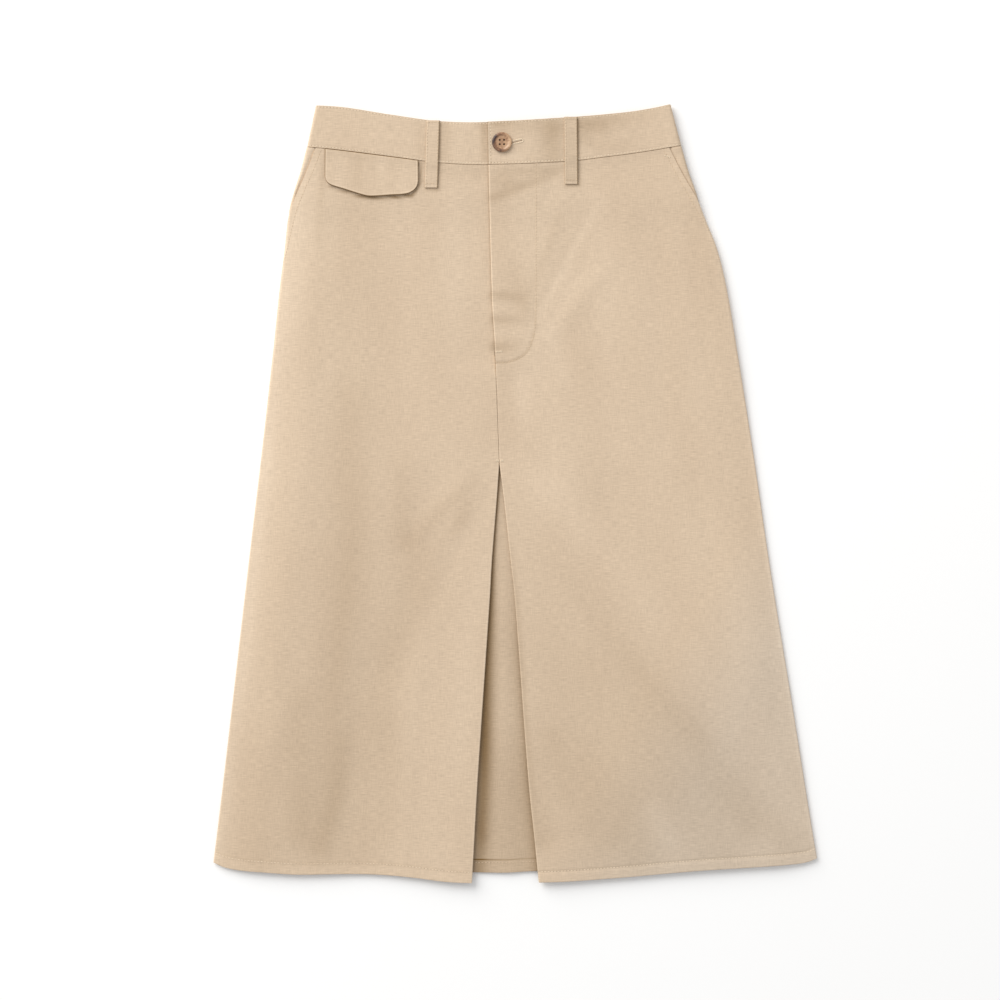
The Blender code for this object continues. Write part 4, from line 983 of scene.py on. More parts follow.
LOOP_INNER = 0.42  # distance of a front loop's even columns from its middle, as a share of its width
LOOP_LAST_ROW = 0.984  # share of its length that the even rows end at
BACK_LOOP_STEP, ZIP_STEP = 0.05, 0.02
PUCKER_WAVES = ((0.5, 2.1, 1.0), (0.3, 3.7, 2.3), (0.2, 1.3, 4.1))  # share, length of a radian, start
PUCKER_SWELL = (0.6, 0.4, 23.0)  # how much of the waves stays, how much comes and goes, length of a radian
EDGE_RIDGE_WIDTH = 0.6


def curve_through(points, step=1.0):
    """Smooth line through points in the plan, with a point about every step."""
    points = np.array(points, float)
    place = np.concatenate(([0.0], np.cumsum(np.hypot(*np.diff(points, axis=0).T))))
    fine = spread(0.0, place[-1], step)
    columns = [along(list(zip(place, points[:, k])), fine) for k in (0, 1)]
    return np.stack(columns, axis=1)


def distance_to(path, x, y):
    """Distance of points in the plan from a line."""
    return np.minimum.reduce([beside(start, end, x, y)[1] for start, end in zip(path, path[1:])])


def lined(lines, edges, across=None):
    """What lines add at points whose distances from edges are given. They fade along across."""
    total = 0.0
    for _, edge, place, half_width, change, *fade in lines:
        strength = change * ease(*fade, across) if fade else change
        total = total + strength * groove(edges[edge] - place, half_width)
    return total


def changing(steps, y):
    """A value that changes along y."""
    return steps[0] + sum(change * ease(low, high, y) for low, high, change in steps[1:])


def puckers(seam, distance, place, seed):
    """Uneven height of the cloth along a seam, at a distance from it and at places in mm along it."""
    width, height = PUCKERS[seam]
    waves = sum(share * np.sin(place / length + turn * seed) for share, length, turn in PUCKER_WAVES)
    least, swell, length = PUCKER_SWELL
    return height * waves * (least + swell * np.sin(place / length + seed)) * groove(distance, width)


def flat_places(grid, column):
    """Place of each point on the flat cloth: along its row from one column, and its y."""
    step = np.linalg.norm(np.diff(grid, axis=1), axis=2)
    run = np.concatenate((np.zeros((len(grid), 1)), np.cumsum(step, axis=1)), axis=1)
    way = np.sign(grid[-1, column, 0] - grid[-1, column - 1, 0])
    u = grid[:, column : column + 1, 0] + way * (run - run[:, column : column + 1])
    return np.stack((u, grid[..., 1]), axis=-1)


def panel_rows():
    edge = np.array(EDGE_ROWS) / FRONT_LENGTH
    hem = 1.0 - (HEM_STITCH + STITCH_ROWS * np.arange(-3, 4)) / FRONT_LENGTH
    foot = np.arange(*FLY_ROWS, FLY_ROW_STEP / FRONT_LENGTH)
    return spread(0.0, 1.0, ROW_STEP, np.concatenate((hem, 1.0 - edge[:2], edge, foot)))[:, None]


def painted_edge_shading(from_edge, place=1.5):
    """A pressed edge's painted dark hairline where it turns down, and a painted highlight beside it."""
    ridge = EDGE_RIDGE * groove(from_edge - place, EDGE_RIDGE_WIDTH)
    return 1.0 + lined(EDGE_SHADE, {"edge": from_edge}) + ridge


def wrap_columns(quarter, outer):
    """Places round the side fold, measured as in skin, from a front's outer edge to its face."""
    inner = np.minimum(-quarter, outer - INNER_MARGIN)
    rows = []
    for low, high, bend in zip(inner.ravel(), outer.ravel(), quarter.ravel()):
        fine = np.linspace(low, high, WRAP_SAMPLES)
        on_fold = np.clip(np.minimum(fine, bend) - max(low, -bend), 0.0, None)
        weight = fine - low + WRAP_DENSITY * on_fold
        rows.append(np.interp(np.linspace(weight[-1], 0.0, WRAP_COLUMNS), weight, fine))
    return np.array(rows)


def hem_rise(y, share):
    return RETURN_HEM_RISE * share * ease(*RETURN_HEM_FROM, y)


def closed_seam(y):
    """How far the centre seam is sewn shut: 1 between the pleat's top and the fly."""
    return ease(*SEAM_ENDS[0], y) * ease(*SEAM_ENDS[1], y)


def front_grid(side):
    """Half front with its half of the pleat: its middle points, and the last column of its face."""
    down = panel_rows()
    y_side, y_centre = row_y(side, down, 1.0), row_y(side, down, 0.0)
    sewn = closed_seam(y_centre)
    round_x = mix(FOLD_RADIUS, SEAM_ROUND, sewn)
    turn = CLOTH / 2 + round_x
    wrap = skin(side, down, wrap_columns(quarter_fold(y_side), pocket_mouth(side, down)))

    end_x = centre_edge(side, y_centre) - side * sewn * (GAP - SEAM_GAP) / 2
    coarse = np.linspace(0.0, 1.0, COARSE_COLUMNS)[None, 1:]
    fine = FINE_WIDTH * np.linspace(1.0, 0.0, FINE_COLUMNS)[None, 1:] ** FINE_CROWDING
    x = mix(wrap[:, -1:, 0], end_x + side * (turn + FINE_WIDTH), coarse)
    x = np.concatenate((x, end_x + side * (turn + fine)), axis=1)
    y = row_y(side, down, (x - end_x) / (side_edge(side, y_side) - end_x))
    face = np.stack((x, y, front_height(side, x, y)), axis=-1)
    grid = np.concatenate((wrap, face), axis=1)
    from_side = np.abs(side_edge(side, grid[..., 1]) - grid[..., 0])
    gentle = ease(*CREASE_FADE[0], np.abs(grid[..., 0] - end_x)) * ease(*CREASE_FADE[1], from_side)
    grid[..., 2] += drawn(CREASES, grid[..., 0], grid[..., 1]) * gentle

    top = grid[:, -1:, 2]
    angle = np.pi * np.arange(1, FOLD_STEPS + 1)[None, :] / FOLD_STEPS
    x = end_x + side * (turn - round_x * np.sin(angle))
    bend = np.stack((x, y_centre + 0 * x, top - FOLD_RADIUS + FOLD_RADIUS * np.cos(angle)), axis=-1)

    low = top - 2 * FOLD_RADIUS
    pleated = y_centre < PLEAT_TOP
    width = np.where(pleated, return_depth(y_centre) - 2 * turn - PLEAT_SEAM - GAP, FLY_TURN)
    end_z = np.where(pleated, UNDERLAY_LEVEL + 2 * FOLD_RADIUS, low)
    share = np.linspace(0.0, 1.0, RETURN_COLUMNS)[None, 1:]
    y = y_centre + hem_rise(y_centre, share)
    x = centre_edge(side, y) + side * (turn + width * share)
    inside = np.stack((x, y, mix(low, end_z, ease(0.0, RETURN_FALL, share))), axis=-1)
    return np.concatenate((grid, bend, inside), axis=1), grid.shape[1] - 1


def front_edges(side, grid):
    """Distances of a front's points from its edges and its stitching."""
    x, y = grid[..., 0], grid[..., 1]
    return {
        "hem": y - grid[-1:, :, 1],
        "waist": grid[:1, :, 1] - y,
        "side": np.abs(side_edge(side, y) - x),
        "edge": np.abs(x - centre_edge(side, y)),
        "left front": x - centre_edge(1, y),
        "pocket": distance_to(pocket_stitch(side), x, y),
        "fly": distance_to(curve_through(FLY_STITCH, 4.0), x, y),
    }


def front_shade(side, grid, face_column, edges):
    """Painted light and shade of a front: uneven on its face, darker where its folded edge turns in."""
    x, y = grid[..., 0], grid[..., 1]
    shade = 1.0 + drawn(PAINTED_SHADING, x, y) + lined(FRONT_SHADE[side], edges, y)
    shade = shade + HEM_TURN_LIGHT * ease(*HEM_TURN, edges["hem"])
    turned = np.arange(grid.shape[1])[None, :] - face_column
    # Painted shade inside the fold, and painted light at the closed centre seam
    return shade * mix(1.0, mix(FOLD_SHADE, SEAM_LIGHT, closed_seam(y)), ease(*INSIDE_FOLD, turned))


def pocket_stitch(side, count=40):
    """Line of the stitching beside a pocket's mouth, in the plan."""
    down = np.linspace(POCKET_STITCHED, POCKET_STITCH_END[side], count)[:, None]
    points = skin(side, down, pocket_mouth(side, down) - POCKET_STITCH)
    return points[:, 0, :2]


def front_relief(side, grid, face_column, edges):
    """Height that hems, seams and stitching give the upper side of a front."""
    x, y = grid[..., 0], grid[..., 1]
    relief = lined(FRONT_RELIEF[side], edges, y) + HEM_TURN_RISE * ease(*HEM_TURN, edges["hem"])
    relief = relief + puckers("hem", edges["hem"] - HEM_STITCH, x, 1.0 + side)
    relief = relief + puckers("waist", edges["waist"], x, 2.0 - side) * ease(0.0, 2.0, edges["waist"])
    relief = relief + puckers("pocket", edges["pocket"], y, 6.0 + side)
    if side > 0:
        relief = relief + puckers("fly", edges["fly"], y + x, 3.0)
    face = np.arange(grid.shape[1])[None, :] <= face_column
    return relief * face * ease(*RELIEF_FADE, edges["side"])


def underlay_grid():
    """Back of the box pleat: its middle points, the extra height of its upper side, and its painted shade."""
    turn = CLOTH / 2 + FOLD_RADIUS
    top_y, hem_y = PLEAT_TOP - 0.2, min(y for _, y in UNDERLAY_HEM)
    band = 1.0 - (HEM_BAND + np.array(UNDERLAY_ROWS)) / (top_y - hem_y)
    down = spread(0.0, 1.0, UNDERLAY_STEP, band)[:, None]
    y_row = mix(top_y, hem_y, down)
    left = centre_edge(-1, y_row) - return_depth(y_row) + turn
    right = centre_edge(1, y_row) + return_depth(y_row) - turn
    angle = np.pi * np.arange(FOLD_STEPS + 1)[None, :] / FOLD_STEPS
    share = np.linspace(0.0, 1.0, UNDERLAY_COLUMNS)[None, 1:-1]
    left_fold, right_fold = left - FOLD_RADIUS * np.sin(angle), right + FOLD_RADIUS * np.sin(angle[:, ::-1])
    parts = (left + PLEAT_SEAM, left_fold, mix(left, right, share), right_fold, right - PLEAT_SEAM)
    x = np.concatenate(parts, axis=1)
    bend = UNDERLAY_LEVEL + FOLD_RADIUS * (1 + np.cos(angle))
    high = np.array([[UNDERLAY_LEVEL + 2 * FOLD_RADIUS]])
    level = np.full(share.shape, UNDERLAY_LEVEL)
    z = np.concatenate((high, bend, level, bend[:, ::-1], high), axis=1) + 0 * x
    hem = along(UNDERLAY_HEM, np.clip((x - left) / (right - left), 0.0, 1.0))
    y = mix(top_y, hem, down)
    z = z + UNDERLAY_RIPPLE * groove(x - mix(left, right, RIPPLE_PLACE), RIPPLE_WIDTH) * ease(*RIPPLE_ENDS, y)
    face = ease(FOLD_STEPS + 1, FOLD_STEPS + 3, np.arange(x.shape[1]))
    face = (face * face[::-1])[None, :]
    above_hem = y - hem
    from_right, from_left = x - centre_edge(-1, y), np.clip(centre_edge(1, y) - x, 0.0, None)
    relief = HEM_BAND_RISE * ease(HEM_BAND + HEM_BAND_SLOPE, HEM_BAND - HEM_BAND_SLOPE, above_hem)
    relief = relief + lined(UNDERLAY_RELIEF, {"hem": above_hem}, x)
    relief = relief + puckers("hem band", above_hem - HEM_BAND, x, 5.0)
    # Painted shadows of the fronts' folds, and painted shade at the edge of the hem band
    shadow = groove(from_right - changing(SHADOW_PLACE, y), changing(SHADOW_WIDTH, y))
    shade = changing(UNDERLAY_LIGHT, y) * (1.0 - changing(SHADOW_DEPTH, y) * shadow)
    shade = shade + lined(UNDERLAY_SHADE, {"hem": above_hem}, x)
    shade = shade - changing(LEFT_SHADOW_DEPTH, y) * np.exp(-from_left / LEFT_SHADOW_WIDTH)
    return np.stack((x, y, z), axis=-1), relief * face, shade


def back_grid():
    """The back, between the side seams under the skirt."""
    down = spread(0.0, 1.0, ROW_STEP * 2)[:, None]
    ends = [skin(side, down, SEAM_UNDER + 0 * down) - np.array((side * GAP, 0.0, 0.0)) for side in (-1, 1)]
    share = np.linspace(0.0, 1.0, BACK_COLUMNS)[None, :]
    x = mix(ends[0][..., 0], ends[1][..., 0], share)
    seam_x = mix(ends[0][0, 0, 0], ends[1][0, 0, 0], share) + 0 * x
    y = mix(along(WAIST_SEAM, seam_x) - GAP, along(BACK_HEM, share), down)
    to_left, to_right = (ends[0][..., 1] - y[:, :1]), (ends[1][..., 1] - y[:, -1:])
    y = y + to_left * ease(BACK_MEETS[0], 0.0, share) + to_right * ease(BACK_MEETS[1], 1.0, share)
    return np.stack((x, y, back_height(x, y)), axis=-1)


def facing_grid(side):
    """The piece that shows in the pocket mouth, from under the front round to the side seam."""
    down = spread(0.0, FACING_END, ROW_STEP)[:, None]
    quarter = quarter_fold(row_y(side, down, 1.0))
    mouth = pocket_mouth(side, down)
    inner = np.minimum(mouth, 0.0) - POCKET_INSIDE - quarter
    under = mix(quarter, SEAM_UNDER, np.array([FACING_UNDER]))
    bend = quarter * np.linspace(1.0, -1.0, FACING_TURN_COLUMNS)[None, :]
    face = mix(-quarter, inner, np.linspace(0.0, 1.0, FACING_COLUMNS)[None, 1:])
    s = np.concatenate((under, bend, face), axis=1)
    point = skin(side, down, s)
    across, below = skin(side, down, s - 0.05) - point, skin(side, down + 0.001, s) - point
    outward = np.cross(across, below) * side
    outward /= np.linalg.norm(outward, axis=-1, keepdims=True)
    sunk = ease(mouth + FACING_STEP[0], mouth + FACING_STEP[1], s)[..., None]
    return point - outward * LAYER * sunk


def band_grid():
    """Waistband, from its right end under the fly, round the back, to its buttoned left end."""
    back = LOOP_LIFT + BAND / 2
    radius = along(SIDE_FOLD, WAIST_SEAM[0][1])
    turns = np.pi * np.arange(1, BAND_TURN) / BAND_TURN
    fine = np.array(BAND_FINE)
    rows = []
    for down in spread(0.0, 1.0, BAND_STEP, BAND_ROWS):
        ends = [mix(WAIST_TOP[k][0], WAIST_SEAM[k][0], down) for k in (0, -1)]

        def band_y(x):
            share = (x - ends[0]) / (ends[1] - ends[0])
            top_y = along(WAIST_TOP, mix(WAIST_TOP[0][0], WAIST_TOP[-1][0], share))
            return mix(top_y, along(WAIST_SEAM, mix(WAIST_SEAM[0][0], WAIST_SEAM[-1][0], share)), down)

        folds = (ends[0] + BAND / 2 + radius, ends[1] - BAND / 2 - radius)
        edge = float(centre_edge(1, band_y(FLY_EDGE[0][1])))
        under = np.linspace(edge + UNDERLAP, edge + 1.0, BAND_COLUMNS["underlap"])
        right = (under, edge - 1.4 + fine[4:], np.linspace(edge - 2.0, folds[0], BAND_COLUMNS["right"]))
        back_x = np.linspace(*folds, BAND_COLUMNS["back"])
        left = (np.linspace(folds[1], edge + 3.6, BAND_COLUMNS["left"]), edge + fine)
        row = []
        for side, x in ((-1, np.concatenate(right)), (0, back_x), (1, np.concatenate(left))):
            y = band_y(x)
            z = band_height(side, x, y) + drawn(BAND_CREASES, x, y) if side else np.full(len(x), back)
            row.append(np.stack((x, y, z), axis=1))
            if side < 1:
                angle = turns if side < 0 else turns[::-1]
                x = x[-1] + (1 + 2 * side) * radius * np.sin(angle)
                row.append(np.stack((x, band_y(x), back + radius * (1 + np.cos(angle))), axis=1))
        rows.append(np.concatenate(row))
    return np.array(rows)


def band_edges(grid):
    """Distances of the band's points from its top, its seam and its buttoned end."""
    x, y = grid[..., 0], grid[..., 1]
    return {"top": grid[:1, :, 1] - y, "seam": y - grid[-1:, :, 1], "end": x - centre_edge(1, y)}


def band_relief(grid):
    """Puckers along the band's stitched edges, and the grooves of its stitching."""
    edges, x = band_edges(grid), grid[..., 0]
    upper, lower = puckers("band, upper", edges["top"], x, 8.0), puckers("band, lower", edges["seam"], x, 7.0)
    return upper + lower + lined(BAND_RELIEF, edges)


def band_shade(grid):
    """Painted light and shade of the band, darker in its creases and along its buttoned end's edge."""
    edges = band_edges(grid)
    buttoned = np.arange(grid.shape[1])[None, :] > grid.shape[1] // 2
    end = painted_edge_shading(np.abs(edges["end"]), 1.0) + lined(BAND_SHADE, edges)
    under = 1.0 + lined(OVERLAP_SHADE, edges)
    return (1.0 + drawn(BAND_PAINTED_SHADING, grid[..., 0], grid[..., 1])) * np.where(buttoned, end, under)


def flap_grid():
    """The flap: its middle points, the relief of its upper side, and its painted light and shade."""
    width = FLAP_RIGHT_X - FLAP_LEFT_X
    down = np.concatenate((np.linspace(0.0, FLAP_EVEN_END, FLAP_EVEN_ROWS), FLAP_ROWS))[:, None]
    ends = np.array(FLAP_FINE) / width
    middle = np.linspace(FLAP_MARGIN, width - FLAP_MARGIN, FLAP_COLUMNS) / width
    share = np.concatenate(((0.0,), ends, middle, 1.0 - ends[::-1], (1.0,)))[None, :]
    x = mix(FLAP_LEFT_X, FLAP_RIGHT_X, share)
    y = mix(along(WAIST_SEAM, x) - GAP, along(FLAP_EDGE, share), down)
    x, down = x + 0 * y, down + 0 * y
    z = front_height(-1, x, y) + CLOTH / 2 + GAP + FLAP / 2 + FLAP_OPEN * down**2
    edge = np.minimum(np.minimum(x - FLAP_LEFT_X, FLAP_RIGHT_X - x), y - along(FLAP_EDGE, share))
    relief = lined(FLAP_RELIEF, {"edge": edge}) + drawn(FLAP_CREASES, x, y)
    return np.stack((x, y, z), axis=-1), relief, painted_edge_shading(edge) + drawn(FLAP_PAINTED_SHADING, x, y) - FLAP_DIM


def loop_grid(top_x, bottom_x):
    """Front belt loop: its middle points, relief of its two stitched sides, painted light and shade."""
    top_y = along(WAIST_TOP, top_x)
    even = np.linspace(-LOOP_INNER, LOOP_INNER, LOOP_COLUMNS)
    across = np.concatenate(((-0.5,), even, (0.5,)))[None, :] * LOOP_WIDTH

    def at(down):
        down = down[:, None]
        return mix(top_x, bottom_x, down) + across, top_y - LOOP_LENGTH * down + 0 * across

    coarse = np.array(LOOP_ROWS)
    fine = np.append(np.linspace(0.0, LOOP_LAST_ROW, LOOP_FINE_ROWS), 1.0)
    bow = (LOOP_BOW * ease(0.0, 0.25, coarse) * ease(1.0, 0.8, coarse))[:, None]
    z = face_height(*at(coarse)) + GAP + LOOP_CLOTH / 2 + bow
    z = np.stack([along(list(zip(coarse, column)), fine) for column in z.T], axis=1)
    x, y = at(fine)
    edges = {"side": LOOP_WIDTH / 2 - np.abs(across), "left side": across - LOOP_WIDTH / 2, "end": y - y[-1:]}
    edges["edge"] = np.minimum(edges["side"], edges["end"])
    shade = 1.0 + lined(LOOP_SHADE, edges) - (LEFT_LOOP_SHADE if top_x > 0 else 0.0)
    return np.stack((x, y, z), axis=-1), lined(LOOP_RELIEF, edges), shade


def back_loop_grid(x_middle):
    top_y = along(WAIST_TOP, x_middle)
    share = spread(0.0, 1.0, BACK_LOOP_STEP)[:, None]
    x = x_middle + np.linspace(-0.5, 0.5, BACK_LOOP_COLUMNS)[None, :] * LOOP_WIDTH + 0 * share
    return np.stack((x, top_y - LOOP_LENGTH * share + 0 * x, np.full(x.shape, LOOP_CLOTH / 2)), axis=-1)


def zip_grid():
    down = spread(0.0, 1.0, ZIP_STEP)[:, None]
    y = mix(ZIP_TOP, ZIP_END, down)
    start = centre_edge(-1, y) + GAP
    x = start + ZIP_WIDTH * np.linspace(0.0, 1.0, ZIP_COLUMNS)[None, :]
    z = back_height(start, y) + of_side(CENTRE_RISE, -1, y)
    return np.stack((x, y + 0 * x, z + 0 * x), axis=-1)


# Stitches

STITCH_INPUTS = (
    ("Line", "Geometry", None),
    ("Stitch length", "Float", 0.0026),
    ("Step", "Float", 0.0032),
    ("Thread width", "Float", 0.0005),
    ("Thread height", "Float", 0.0004),
    ("Turn", "Float", 0.0),
    ("Wander", "Float", 0.08),
    ("Seed", "Int", 1),
    ("Thread", "Material", None),
)


def stitch_tree():
    """Geometry nodes that lay stitches on a line: a small capsule of thread at each step, along the line or
    turned across it."""
    tree = bpy.data.node_groups.new("Stitch row", "GeometryNodeTree")
    for name, kind, default in STITCH_INPUTS:
        made = tree.interface.new_socket(name, in_out="INPUT", socket_type="NodeSocket" + kind)
        if default is not None:
            made.default_value = default
    tree.interface.new_socket("Stitches", in_out="OUTPUT", socket_type="NodeSocketGeometry")
    given = add(tree, "NodeGroupInput").outputs
    line = add(tree, "GeometryNodeMeshToCurve", {0: given["Line"]})
    spaced = {"mode": "LENGTH", "Curve": line, "Length": given["Step"]}
    ball = add(tree, "GeometryNodeMeshUVSphere", {"Segments": 8, "Rings": 5, "Radius": 0.5})
    sizes = {0: given["Stitch length"], 1: given["Thread width"], 2: given["Thread height"]}
    size = add(tree, "ShaderNodeCombineXYZ", sizes)
    capsule = add(tree, "GeometryNodeTransform", {0: ball, "Scale": size})

    tangent = add(tree, "GeometryNodeInputTangent")
    along_line = add(tree, "FunctionNodeAlignRotationToVector", {"axis": "X", "Vector": tangent})
    minus = add(tree, "ShaderNodeMath", {"operation": "MULTIPLY", 0: given["Wander"], 1: -1.0})
    wander = {"data_type": "FLOAT", 2: minus, 3: given["Wander"], "Seed": given["Seed"]}
    wandering = add(tree, "FunctionNodeRandomValue", wander).outputs[1]
    angle = add(tree, "ShaderNodeMath", {"operation": "ADD", 0: given["Turn"], 1: wandering})
    spin = add(tree, "ShaderNodeCombineXYZ", {2: angle})
    euler = add(tree, "FunctionNodeEulerToRotation", {0: spin})
    turned = add(tree, "FunctionNodeRotateRotation", {"rotation_space": "LOCAL", 0: along_line, 1: euler})

    points = add(tree, "GeometryNodeResampleCurve", spaced)
    placed = {"Points": points, "Instance": capsule, "Rotation": turned}
    real = add(tree, "GeometryNodeRealizeInstances", {0: add(tree, "GeometryNodeInstanceOnPoints", placed)})
    smooth = add(tree, "GeometryNodeSetShadeSmooth", {0: real})
    dressed = add(tree, "GeometryNodeSetMaterial", {0: smooth, "Material": given["Thread"]})
    add(tree, "NodeGroupOutput", {0: dressed}).is_active_output = True
    return tree


def plan(x, y):
    """A line of points in the plan."""
    return np.stack(np.broadcast_arrays(x, y), axis=1)


def laid_on(node, points, lift=SUNK_STITCH):
    """The points of a line in the plan, in mm, put on the upper side of a piece of canvas and lifted."""
    bpy.context.view_layer.update()
    piece = bpy.data.objects[f"canvas_{node}"]
    tree = BVHTree.FromObject(piece, bpy.context.evaluated_depsgraph_get())
    result = []
    for x, y in points:
        hit = tree.ray_cast(Vector((x, y, SKY)) * MM, Vector((0.0, 0.0, -1.0)))[0]
        if hit is not None:
            result.append(hit + Vector((0.0, 0.0, lift * MM)))
    return result


def from_start(line, distance):
    """A line of points, begun a distance further on."""
    points = np.array([tuple(p) for p in line])
    place = np.concatenate(([0.0], np.cumsum(np.linalg.norm(np.diff(points, axis=0), axis=1))))
    fine = np.concatenate(([distance], place[place > distance]))
    return np.stack([np.interp(fine, place, points[:, k]) for k in range(3)], axis=1)


def stitch_rows(name, lines, thread, size, turn=0.0, closed=False):
    """One object of stitches along lines of points. size is their length, step, width and height in mm."""
    points, edges = [], []
    for line in lines:
        first = len(points)
        points += [tuple(p) for p in line]
        edges += [(k, k + 1) for k in range(first, len(points) - 1)]
        if closed:
            edges.append((len(points) - 1, first))
    mesh = bpy.data.meshes.new(name + "_lines")
    mesh.from_pydata(points, edges, [])
    guide = linked(name + "_guide", mesh)
    modifier = guide.modifiers.new("stitches", "NODES")
    modifier.node_group = bpy.data.node_groups.get("Stitch row") or stitch_tree()
    given = dict(zip(("Stitch length", "Step", "Thread width", "Thread height"), (mm * MM for mm in size)))
    given.update({"Turn": turn, "Seed": len(name), "Thread": thread})
    for item in modifier.node_group.interface.items_tree:
        if item.item_type == "SOCKET" and item.name in given:
            modifier[item.identifier] = given[item.name]
    made = as_built(name, guide)
    if len(made.data.polygons) == 0:
        raise RuntimeError(f"{name} has no stitches")
    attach(made, "root")


def seams():
    """Lines of stitching in the plan, by the piece that they are sewn through."""
    rows = {}
    for side, node in FRONTS.items():
        share = np.linspace(*HEM_STITCHED, 200)
        x = mix(centre_edge(side, HEM_ENDS[0]), side_edge(side, HEM_ENDS[1]), share)
        rows[node] = [plan(x, of_side(FRONT_HEM, side, share) + HEM_STITCH)]
    x = np.linspace(*UNDERLAY_STITCHED, 80)
    share = (x - UNDERLAY_ENDS[0]) / (UNDERLAY_ENDS[1] - UNDERLAY_ENDS[0])
    rows["pleat_underlay"] = [plan(x, along(UNDERLAY_HEM, share) + HEM_BAND - UNDERLAY_STITCH)]
    rows["waistband"] = []
    for ends in BAND_STITCHED:
        x = np.linspace(*ends, 120)
        rows["waistband"].append(plan(x, along(WAIST_SEAM, x) + BAND_STITCH))
        rows["waistband"].append(plan(x, along(WAIST_TOP, x) - BAND_STITCH))
    y = np.linspace(*BAND_END_STITCHED, 30)
    rows["waistband"].append(plan(centre_edge(1, y) + BAND_END_STITCH, y))
    reach = LOOP_WIDTH / 2 - LOOP_STITCH
    across = np.linspace(-reach, reach, 8)
    for node, (top_x, bottom_x) in FRONT_LOOPS.items():
        top_y = along(WAIST_TOP, top_x)
        share = np.linspace(*LOOP_STITCHED, 40)
        x, y = mix(top_x, bottom_x, share), top_y - LOOP_LENGTH * share
        rows[node] = [plan(x + way * reach, y) for way in (-1, 1)]
        rows[node].append(plan(bottom_x + across, top_y - LOOP_LENGTH + LOOP_END_STITCH))
        rows[node].append(plan(top_x + across, top_y - LOOP_TOP_STITCH))
    return rows


def sew(context, node, grid, thickness, slot="canvas", **form):
    """Makes a piece of cloth in place of its solid, and hides the solid."""
    made = cloth_wall(f"canvas_{node}" if slot == "canvas" else slot, grid, thickness, **form)
    paint(made, bpy.data.materials.get("cotton_canvas") or canvas("cotton_canvas", context.scene.skirt_cloth))
    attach(made, "root")
    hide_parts(node)


# Settings in the sidebar


def a_colour(name, description, hexadecimal):
    """A colour that a user may change."""
    kind = {"subtype": "COLOR", "size": 4, "min": 0.0, "max": 1.0, "default": srgb(hexadecimal)}
    return bpy.props.FloatVectorProperty(name=name, description=description, **kind)


def a_length(name, description, default, low, high):
    """A length in metres that a user may change."""
    kind = {"subtype": "DISTANCE", "unit": "LENGTH", "min": low, "max": high}
    return bpy.props.FloatProperty(name=name, description=description, default=default, **kind)


def a_share(name, description, default):
    """A share from 0 to 1 that a user may change."""
    kind = {"subtype": "FACTOR", "min": 0.0, "max": 1.0}
    return bpy.props.FloatProperty(name=name, description=description, default=default, **kind)


class SkirtClothSettings(bpy.types.PropertyGroup):
    """Colour and weave of the canvas."""

    light_colour: a_colour("Canvas, lighter", "Colour of the canvas where it took the least dye", "#d8c2a8")
    deep_colour: a_colour("Canvas, deeper", "Colour of the canvas where it took the most dye", "#ceb79d")
    thread_pitch: a_length("Thread pitch", "Distance at which the yarns are drawn", 0.00075, 0.0003, 0.005)
    weave_contrast: a_share("Weave contrast", "How much lighter and darker the single yarns are", 0.25)
    slub_contrast: a_share("Slub contrast", "How much the thick stretches of yarn stand out", 0.018)
    weave_bump: a_share("Weave relief", "How strongly the weave catches the light", 0.35)


class SkirtSewingSettings(bpy.types.PropertyGroup):
    """Sizes and colours of the stitching."""

    colour: a_colour("Sewing thread", "Colour of the topstitching thread", "#ead8be")
    tonal: a_colour("Tonal thread", "Colour of the thread of the fly, pockets, loops and underlay", "#d3bc9e")
    length: a_length("Stitch length", "Length of thread that shows in each stitch", 0.0024, 0.0005, 0.01)
    step: a_length("Stitch spacing", "Distance from one stitch to the next", 0.0031, 0.0005, 0.01)
    width: a_length("Thread width", "Width of the thread", 0.00058, 0.0001, 0.003)


class SkirtButtonSettings(bpy.types.PropertyGroup):
    """Size and colours of the waist button."""

    width: a_length("Button width", "Diameter of the waist button", BUTTON_WIDTH, 0.005, 0.05)
    dark: a_colour("Horn, dark", "Darkest brown of the button", "#3d2824")
    middle: a_colour("Horn, middle", "Middle brown of the button", "#936b4e")
    light: a_colour("Horn, light", "Lightest honey colour of the button", "#d3ad88")


class SkirtStageSettings(bpy.types.PropertyGroup):
    """Floor and light."""

    floor_colour: a_colour("Floor", "Colour of the floor", "#ffffff")
    window_power: bpy.props.FloatProperty(
        name="Main light",
        description="Power of the large light at the upper left",
        unit="POWER",
        default=372.0,
        min=0.0,
    )
    sky: bpy.props.FloatProperty(
        name="Fill", description="Strength of the even light from all round", default=0.60, min=0.0
    )


# Operators


class SKIRT_OT_front_panels(bpy.types.Operator):
    """Make the two fronts, each cut in one with its half of the pleat"""

    bl_idname = "skirt.front_panels"
    bl_label = "Fronts"

    def execute(self, context):
        for side, node in FRONTS.items():
            grid, face_column = front_grid(side)
            edges = front_edges(side, grid)
            relief = front_relief(side, grid, face_column, edges)
            shade = front_shade(side, grid, face_column, edges)
            sew(context, node, grid, CLOTH, relief=relief, uv=flat_places(grid, face_column), shade=shade)
        return {"FINISHED"}


class SKIRT_OT_pleat_underlay(bpy.types.Operator):
    """Make the underlay that closes the box pleat"""

    bl_idname = "skirt.pleat_underlay"
    bl_label = "Pleat underlay"

    def execute(self, context):
        grid, relief, shade = underlay_grid()
        sew(context, "pleat_underlay", grid, CLOTH, relief=relief, shade=shade)
        return {"FINISHED"}


class SKIRT_OT_back_panel(bpy.types.Operator):
    """Make the back, which lies on the floor"""

    bl_idname = "skirt.back_panel"
    bl_label = "Back"

    def execute(self, context):
        sew(context, "back_panel", back_grid(), CLOTH)
        return {"FINISHED"}


